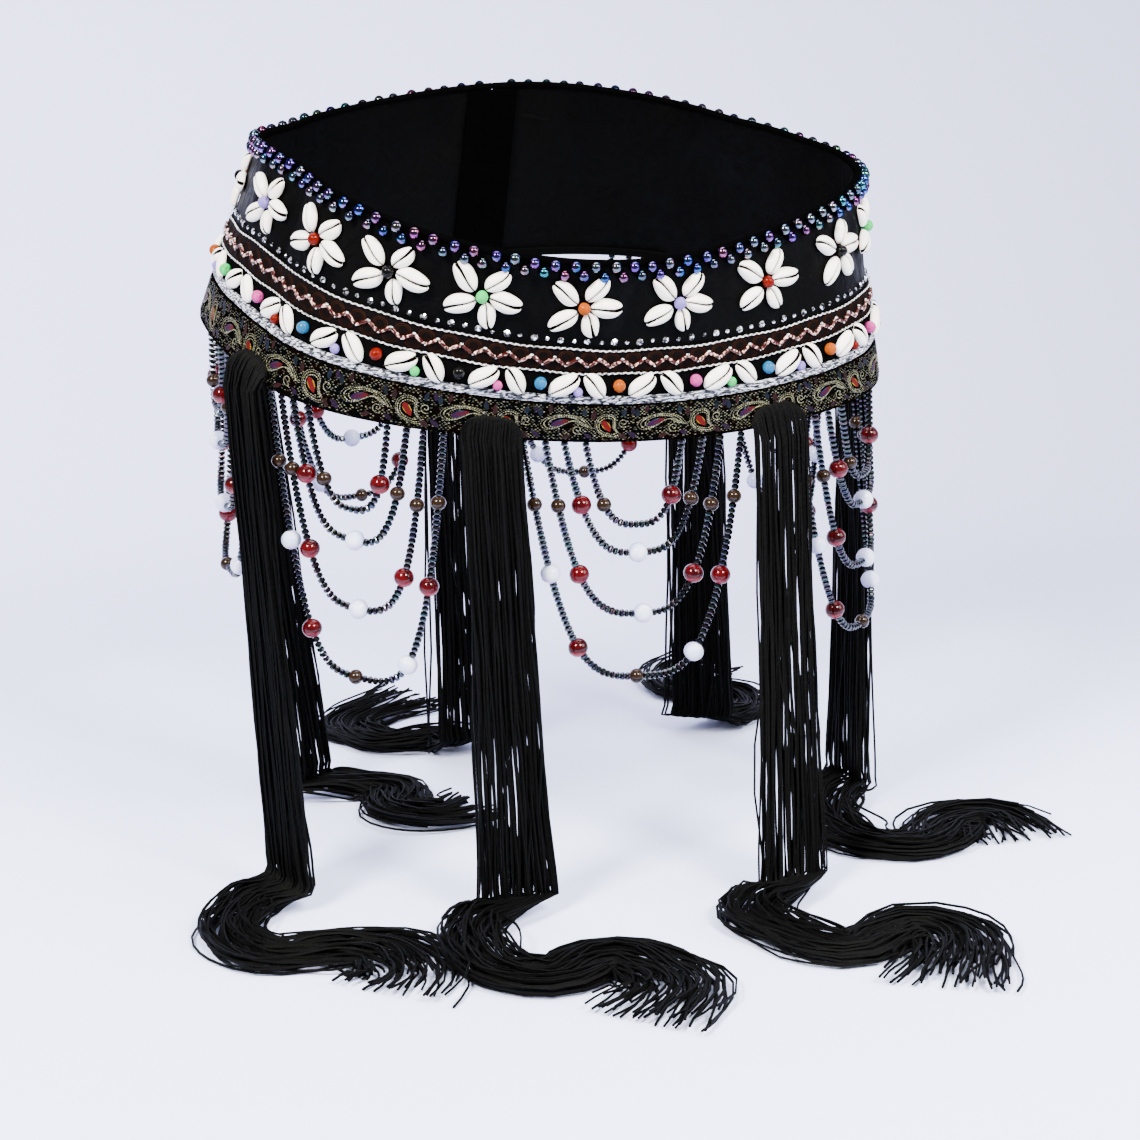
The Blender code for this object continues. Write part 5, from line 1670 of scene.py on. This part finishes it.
def fill_with_seeds(places, radii, pitch):
    """Runs of seed beads between the larger beads of a strand, as a list of rows of stops."""
    rows = []
    for i in range(len(places) - 1):
        first, last = places[i] + radii[i] * 0.90, places[i + 1] - radii[i + 1] * 0.90
        if last - first >= 0.002:
            amount = max(1, int(round((last - first) / pitch)))
            rows.append(first + (np.arange(amount) + 0.5) * (last - first) / amount)
    return rows


def make_bay(sizes, rng, seed, large, number, left, right):
    """The four strands of one bay: seed beads, larger beads, thread and tape, each its own piece."""
    shift, deeper = BAY_SET.get("b%d" % number, (0.0, 1.0))
    centre, widen = (left + right) / 2 + shift, (right - left) / BAY_WIDTH
    seeds, seed_frames, bigs, big_frames, big_sizes, big_tones, cores = [], [], [], [], [], [], []
    for half, depth, beads in LOOPS:
        line, u = hang_strand(rng, centre, half * widen, depth * deeper)
        along = run_along(line)
        big_places = [float(np.interp(share, u, along)) for share, _, _ in beads]
        radii = [radius for _, radius, _ in beads]
        for stops in fill_with_seeds([0.0] + big_places + [along[-1]], [0.0] + radii + [0.0], sizes.seed_pitch):
            seeds.append(at_runs(line, stops))
            seed_frames.append(strand_frames(line, along, stops))
        bigs.append(at_runs(line, np.array(big_places)))
        big_frames.append(strand_frames(line, along, np.array(big_places)))
        big_sizes += radii
        big_tones += [BEAD_COLOURS[colour] for _, _, colour in beads]
        cores.append(line[::8])
    place, frames = np.concatenate(seeds), np.concatenate(seed_frames)
    scales = sizes.seed_radius * rng.uniform(0.92, 1.06, (len(place), 1))
    piece = joined("loop_seeds_b%d" % number, seed, set_copies(seed, place, frames, scales),
                   per_point(film_tones(len(place), rng, 0.7), len(seed["points"])))
    place_on_belt(piece, "seed", "bead_loops_b%d" % number)
    place, radii = np.concatenate(bigs), np.array(big_sizes)[:, None]
    copies = set_copies(large, place, np.concatenate(big_frames), radii)
    local = own_places(large, len(place))
    local[:, :, 1] = (copies[:, :, 2] - place[:, None, 2]) / radii * 0.5 + 0.5
    piece = joined("loop_beads_b%d" % number, large, copies, per_point(big_tones, len(large["points"])), 40.0,
                   local)
    place_on_belt(piece, "loop_bead")
    piece = curves_to_mesh("loop_thread_b%d" % number, cores, 0.0004)
    place_on_belt(piece, "yarn")
    reach = max(half for half, _, _ in LOOPS) * widen + 0.003
    inside = -PANEL_THICK - GAP - TAPE_THICK
    outside = inside + TAPE_THICK * 0.9
    section = ((0.0008, inside), (TAPE_HEIGHT, inside), (TAPE_HEIGHT, outside), (0.0008, outside))
    piece = long_strip("loop_tape_b%d" % number, 60, section, centre - reach, centre + reach, "hem")
    finish_mesh(piece, "loop_tape_b%d" % number, 40.0)
    place_on_belt(piece, "ribbon")


def make_loops(sizes):
    """Four nested strands of seed beads with larger beads strung in, in each bay."""
    rng = np.random.default_rng(71)
    seed = short_bead_pattern(8, 0.66)
    large = bead_pattern(16, 10, 0.95, 0.72)
    for number, (left, right) in enumerate(bays(), start=1):
        make_bay(sizes, rng, seed, large, number, left, right)


def strand_frames(line, along, stops):
    """Directions of beads on a strand: X along it."""
    way = unit(np.gradient(line, axis=0))
    forward = unit(np.stack([np.interp(stops, along, way[:, i]) for i in range(3)], axis=1))
    chord = line[-1] - line[0]
    out = unit(np.array([[chord[1], -chord[0], 0.0]]))
    out = np.repeat(out, len(stops), axis=0)
    up = unit(np.cross(out, forward))
    out = np.cross(forward, up)
    return np.stack([forward, up, out], axis=2)


# -------- stage
LIGHTS = (
    # name, place, aims at, size, watts, colour
    ("key left", (-1.80, -1.25, 1.75), (0.0, 0.0, -0.1), 0.80, 104.0, (1.0, 0.975, 0.93)),
    ("key right", (0.66, -2.10, 1.75), (0.0, 0.0, -0.1), 0.80, 84.0, (1.0, 0.975, 0.93)),
    ("fill", (1.8, -1.3, 0.9), (0.0, 0.0, -0.15), 1.3, 26.0, (0.97, 0.98, 1.0)),
    ("overhead", (0.1, 0.2, 2.0), (0.0, 0.0, 0.0), 1.8, 24.0, (1.0, 1.0, 1.0)),
    ("rear", (0.9, 1.0, 1.4), (0.0, 0.2, 0.0), 1.0, 9.0, (0.96, 0.97, 1.0)),
)


def lay_paper(turn):
    """Sweep of pale paper: floor, bend and wall, turned to face the camera."""
    piece, share = grid("paper_sweep", 2, 48)
    front, back, bend, wall, width = 0.66, 0.62, 0.55, 3.2, 6.0
    lengths = np.array([front + back, bend * math.pi / 2, wall - bend])
    run = share[:, 1] * lengths.sum()
    arc = np.clip(run - lengths[0], 0.0, lengths[1]) / bend
    rise = np.clip(run - lengths[0] - lengths[1], 0.0, None)
    depth = -front + np.minimum(run, lengths[0]) + bend * np.sin(arc)
    height = FLOOR - 0.0002 + bend * (1 - np.cos(arc)) + rise
    wide = (share[:, 0] - 0.5) * width
    c, s = math.cos(turn), math.sin(turn)
    set_coordinates(piece, np.stack([wide * c - depth * s, wide * s + depth * c, height], axis=1))
    finish_mesh(piece, "paper_sweep", 80.0)
    dress(piece, "paper")


def set_camera(stage):
    camera = add_object("camera", bpy.data.cameras.new("camera"))
    camera.data.lens = stage.lens
    camera.data.sensor_width = 36.0
    camera.data.clip_start = 0.05
    backwards = Vector((math.sin(stage.azimuth) * math.cos(stage.elevation),
                        -math.cos(stage.azimuth) * math.cos(stage.elevation), math.sin(stage.elevation)))
    level = (-backwards).cross(Vector((0, 0, 1))).normalized()
    upright = level.cross(-backwards)
    c, s = math.cos(stage.roll), math.sin(stage.roll)
    right, up = level * c + upright * s, upright * c - level * s
    axes = Matrix((right, up, backwards)).transposed()
    camera.matrix_world = Matrix.Translation(stage.camera_place) @ axes.to_4x4()
    bpy.context.scene.camera = camera


def set_lights(brightness):
    """Square lamps round the belt and a faint light from everywhere."""
    for name, place, target, size, watts, colour in LIGHTS:
        lamp = bpy.data.lights.new(name, "AREA")
        lamp.shape, lamp.size, lamp.energy, lamp.color = "SQUARE", size, watts * brightness, colour
        made = add_object(name, lamp)
        made.location = place
        made.rotation_euler = (Vector(target) - Vector(place)).to_track_quat("-Z", "Y").to_euler()
    world = bpy.data.worlds.new("studio")
    world.use_nodes = True
    background = world.node_tree.nodes["Background"]
    background.inputs["Color"].default_value = (1.0, 0.97, 0.93, 1.0)
    background.inputs["Strength"].default_value = 0.18 * brightness
    bpy.context.scene.world = world


def make_stage(stage):
    """Sweep of pale paper, soft lights and the camera."""
    lay_paper(stage.azimuth)
    set_camera(stage)
    set_lights(stage.brightness)


# -------- what a user may change
class HipBeltSizes(bpy.types.PropertyGroup):
    crease_depth: FloatProperty(name="Crease depth", description="Strength of the velvet's creases",
                                default=1.0, min=0.0, max=2.0, subtype="FACTOR")
    pearl_radius: FloatProperty(name="Pearl radius", description="Pearls under the top edge",
                                default=0.00292, precision=5, unit="LENGTH")
    petal_scale: FloatProperty(name="Flower size", description="Size of the cowrie flowers", default=0.96,
                               min=0.5, max=1.2, subtype="FACTOR")
    comma_pairs: IntProperty(name="Brocade repeats", description="Pairs of commas round the trim",
                             default=20, min=1)
    seed_radius: FloatProperty(name="Seed bead radius", description="Beads of the hanging loops",
                               default=0.00215, precision=5, unit="LENGTH")
    seed_pitch: FloatProperty(name="Seed bead pitch", description="Distance between seed beads",
                              default=0.0028, precision=5, unit="LENGTH")
    yarns: IntProperty(name="Yarns", description="Yarns in each tassel", default=86, min=6)
    yarn_points: IntProperty(name="Yarn points", description="Points along each yarn's lower part",
                             default=36, min=10)
    yarn_radius: FloatProperty(name="Yarn radius", description="Half the thickness of a tassel yarn",
                               default=0.00072, precision=5, unit="LENGTH")


COLOUR = {"subtype": "COLOR", "size": 3, "min": 0.0, "max": 1.0}


class HipBeltColours(bpy.types.PropertyGroup):
    velvet: FloatVectorProperty(name="Velvet", description="Band cloth",
                                default=(0.0003, 0.0003, 0.0003), **COLOUR)
    shell: FloatVectorProperty(name="Shell", description="Cowrie shells",
                               default=(0.93, 0.885, 0.785), **COLOUR)
    copper: FloatVectorProperty(name="Copper", description="Bugle beads of the zigzag",
                                default=(0.060, 0.0055, 0.0035), **COLOUR)
    braid: FloatVectorProperty(name="Braid", description="Brown braid",
                               default=(0.0036, 0.0011, 0.0009), **COLOUR)
    silver: FloatVectorProperty(name="Silver", description="Metal ribbon",
                                default=(0.052, 0.054, 0.062), **COLOUR)
    brocade: FloatVectorProperty(name="Brocade", description="Ground of the lowest trim",
                                 default=(0.0008, 0.0009, 0.0006), **COLOUR)
    gold: FloatVectorProperty(name="Gold", description="Metal stitches of the lowest trim",
                              default=(0.27, 0.26, 0.21), **COLOUR)
    yarn: FloatVectorProperty(name="Yarn", description="Tassel yarn",
                              default=(0.0011, 0.0011, 0.0011), **COLOUR)
    floor: FloatVectorProperty(name="Floor", description="Studio paper under the belt",
                               default=(0.64, 0.70, 0.97), **COLOUR)
    # the wall colour holds painted shade: the same paper as the floor, painted darker
    wall: FloatVectorProperty(name="Wall", description="Studio paper behind the belt",
                              default=(0.52, 0.54, 0.78), **COLOUR)


class HipBeltStage(bpy.types.PropertyGroup):
    camera_place: FloatVectorProperty(name="Camera", description="Where the camera stands", size=3,
                                      default=(-0.44214, -1.27659, 0.12762), subtype="TRANSLATION",
                                      unit="LENGTH", precision=5)
    azimuth: FloatProperty(name="Azimuth", description="Camera's turn round the belt", subtype="ANGLE",
                           unit="ROTATION", default=math.radians(-18.9623), precision=5)
    elevation: FloatProperty(name="Elevation", description="Camera's height as an angle", subtype="ANGLE",
                             unit="ROTATION", default=math.radians(14.7121), precision=5)
    roll: FloatProperty(name="Roll", description="Camera's tilt sideways", subtype="ANGLE",
                        unit="ROTATION", default=math.radians(-2.1133), precision=5)
    lens: FloatProperty(name="Focal length", description="Lens for a 36 mm wide frame", unit="CAMERA",
                        default=79.52, precision=3)
    brightness: FloatProperty(name="Brightness", description="Strength of all the lights", default=3.0,
                              min=0.0, subtype="FACTOR", soft_max=5.0)


# -------- operators
class HIPBELT_OT_velvet(bpy.types.Operator):
    """Build the velvet wall, its top edge and the tab behind its slit"""
    bl_idname = "hipbelt.velvet"
    bl_label = "Velvet band"

    def execute(self, context):
        sizes = context.scene.hipbelt_sizes
        make_velvet(sizes)
        make_top_edge()
        make_closure_tab()
        return {"FINISHED"}


class HIPBELT_OT_pearls(bpy.types.Operator):
    """Sew the pearls along the top and the crystals above the braid"""
    bl_idname = "hipbelt.pearls"
    bl_label = "Pearls and crystals"

    def execute(self, context):
        make_pearls(context.scene.hipbelt_sizes)
        make_stones()
        return {"FINISHED"}


class HIPBELT_OT_flowers(bpy.types.Operator):
    """Set the cowrie flowers round the crown of the band"""
    bl_idname = "hipbelt.flowers"
    bl_label = "Cowrie flowers"

    def execute(self, context):
        make_flowers(context.scene.hipbelt_sizes)
        return {"FINISHED"}


class HIPBELT_OT_braid(bpy.types.Operator):
    """Lay the brown braid, its bugle beads and the two white cords"""
    bl_idname = "hipbelt.braid"
    bl_label = "Braid and cords"

    def execute(self, context):
        make_braid()
        make_cords()
        return {"FINISHED"}


class HIPBELT_OT_ribbons(bpy.types.Operator):
    """Lay the cowrie ribbon and the silver ribbon"""
    bl_idname = "hipbelt.ribbons"
    bl_label = "Cowrie and silver ribbons"

    def execute(self, context):
        make_ribbon()
        make_silver()
        return {"FINISHED"}


class HIPBELT_OT_brocade(bpy.types.Operator):
    """Lay the brocade trim at the hem"""
    bl_idname = "hipbelt.brocade"
    bl_label = "Brocade trim"

    def execute(self, context):
        make_brocade(context.scene.hipbelt_sizes)
        return {"FINISHED"}


class HIPBELT_OT_tassels(bpy.types.Operator):
    """Hang the yarn tassels and lay their ends on the floor"""
    bl_idname = "hipbelt.tassels"
    bl_label = "Tassels"

    def execute(self, context):
        for number, (name, arc, lay) in enumerate(TASSELS):
            make_tassel(context.scene.hipbelt_sizes, name, arc, lay, 100 + number)
            tassel_head(name, arc, 200 + number)
        return {"FINISHED"}


class HIPBELT_OT_loops(bpy.types.Operator):
    """String the bead loops between the tassels"""
    bl_idname = "hipbelt.loops"
    bl_label = "Bead loops"

    def execute(self, context):
        make_loops(context.scene.hipbelt_sizes)
        return {"FINISHED"}


class HIPBELT_OT_stage(bpy.types.Operator):
    """Set the paper sweep, the lights and the camera"""
    bl_idname = "hipbelt.stage"
    bl_label = "Stage"

    def execute(self, context):
        make_stage(context.scene.hipbelt_stage)
        return {"FINISHED"}


class HIPBELT_PT_panel(bpy.types.Panel):
    """Sizes, colours and building steps of the hip belt"""
    bl_label = "Hip belt"
    bl_idname = "HIPBELT_PT_panel"
    bl_space_type = "VIEW_3D"
    bl_region_type = "UI"
    bl_category = "Hip belt"

    def draw(self, context):
        scene = context.scene
        for title, props in (("Sizes", scene.hipbelt_sizes), ("Colours", scene.hipbelt_colours),
                             ("Stage", scene.hipbelt_stage)):
            box = self.layout.box()
            box.label(text=title)
            for word in props.__annotations__:
                box.prop(props, word)
        for step in STEPS:
            self.layout.operator(step.bl_idname)


STEPS = (HIPBELT_OT_velvet, HIPBELT_OT_pearls, HIPBELT_OT_flowers, HIPBELT_OT_braid, HIPBELT_OT_ribbons,
         HIPBELT_OT_brocade, HIPBELT_OT_tassels, HIPBELT_OT_loops, HIPBELT_OT_stage)
CLASSES = (HipBeltSizes, HipBeltColours, HipBeltStage, *STEPS, HIPBELT_PT_panel)


def register():
    for made in CLASSES:
        bpy.utils.register_class(made)
    bpy.types.Scene.hipbelt_sizes = PointerProperty(type=HipBeltSizes)
    bpy.types.Scene.hipbelt_colours = PointerProperty(type=HipBeltColours)
    bpy.types.Scene.hipbelt_stage = PointerProperty(type=HipBeltStage)


def unregister():
    for word in ("hipbelt_sizes", "hipbelt_colours", "hipbelt_stage"):
        delattr(bpy.types.Scene, word)
    for made in reversed(CLASSES):
        bpy.utils.unregister_class(made)


def main():
    register()
    FINISH.update(make_finishes(bpy.context.scene.hipbelt_colours))
    bpy.ops.hipbelt.velvet()
    bpy.ops.hipbelt.pearls()
    bpy.ops.hipbelt.flowers()
    bpy.ops.hipbelt.braid()
    bpy.ops.hipbelt.ribbons()
    bpy.ops.hipbelt.brocade()
    bpy.ops.hipbelt.tassels()
    bpy.ops.hipbelt.loops()
    bpy.ops.hipbelt.stage()
    bpy.context.view_layer.update()


if __name__ == "__main__":
    main()
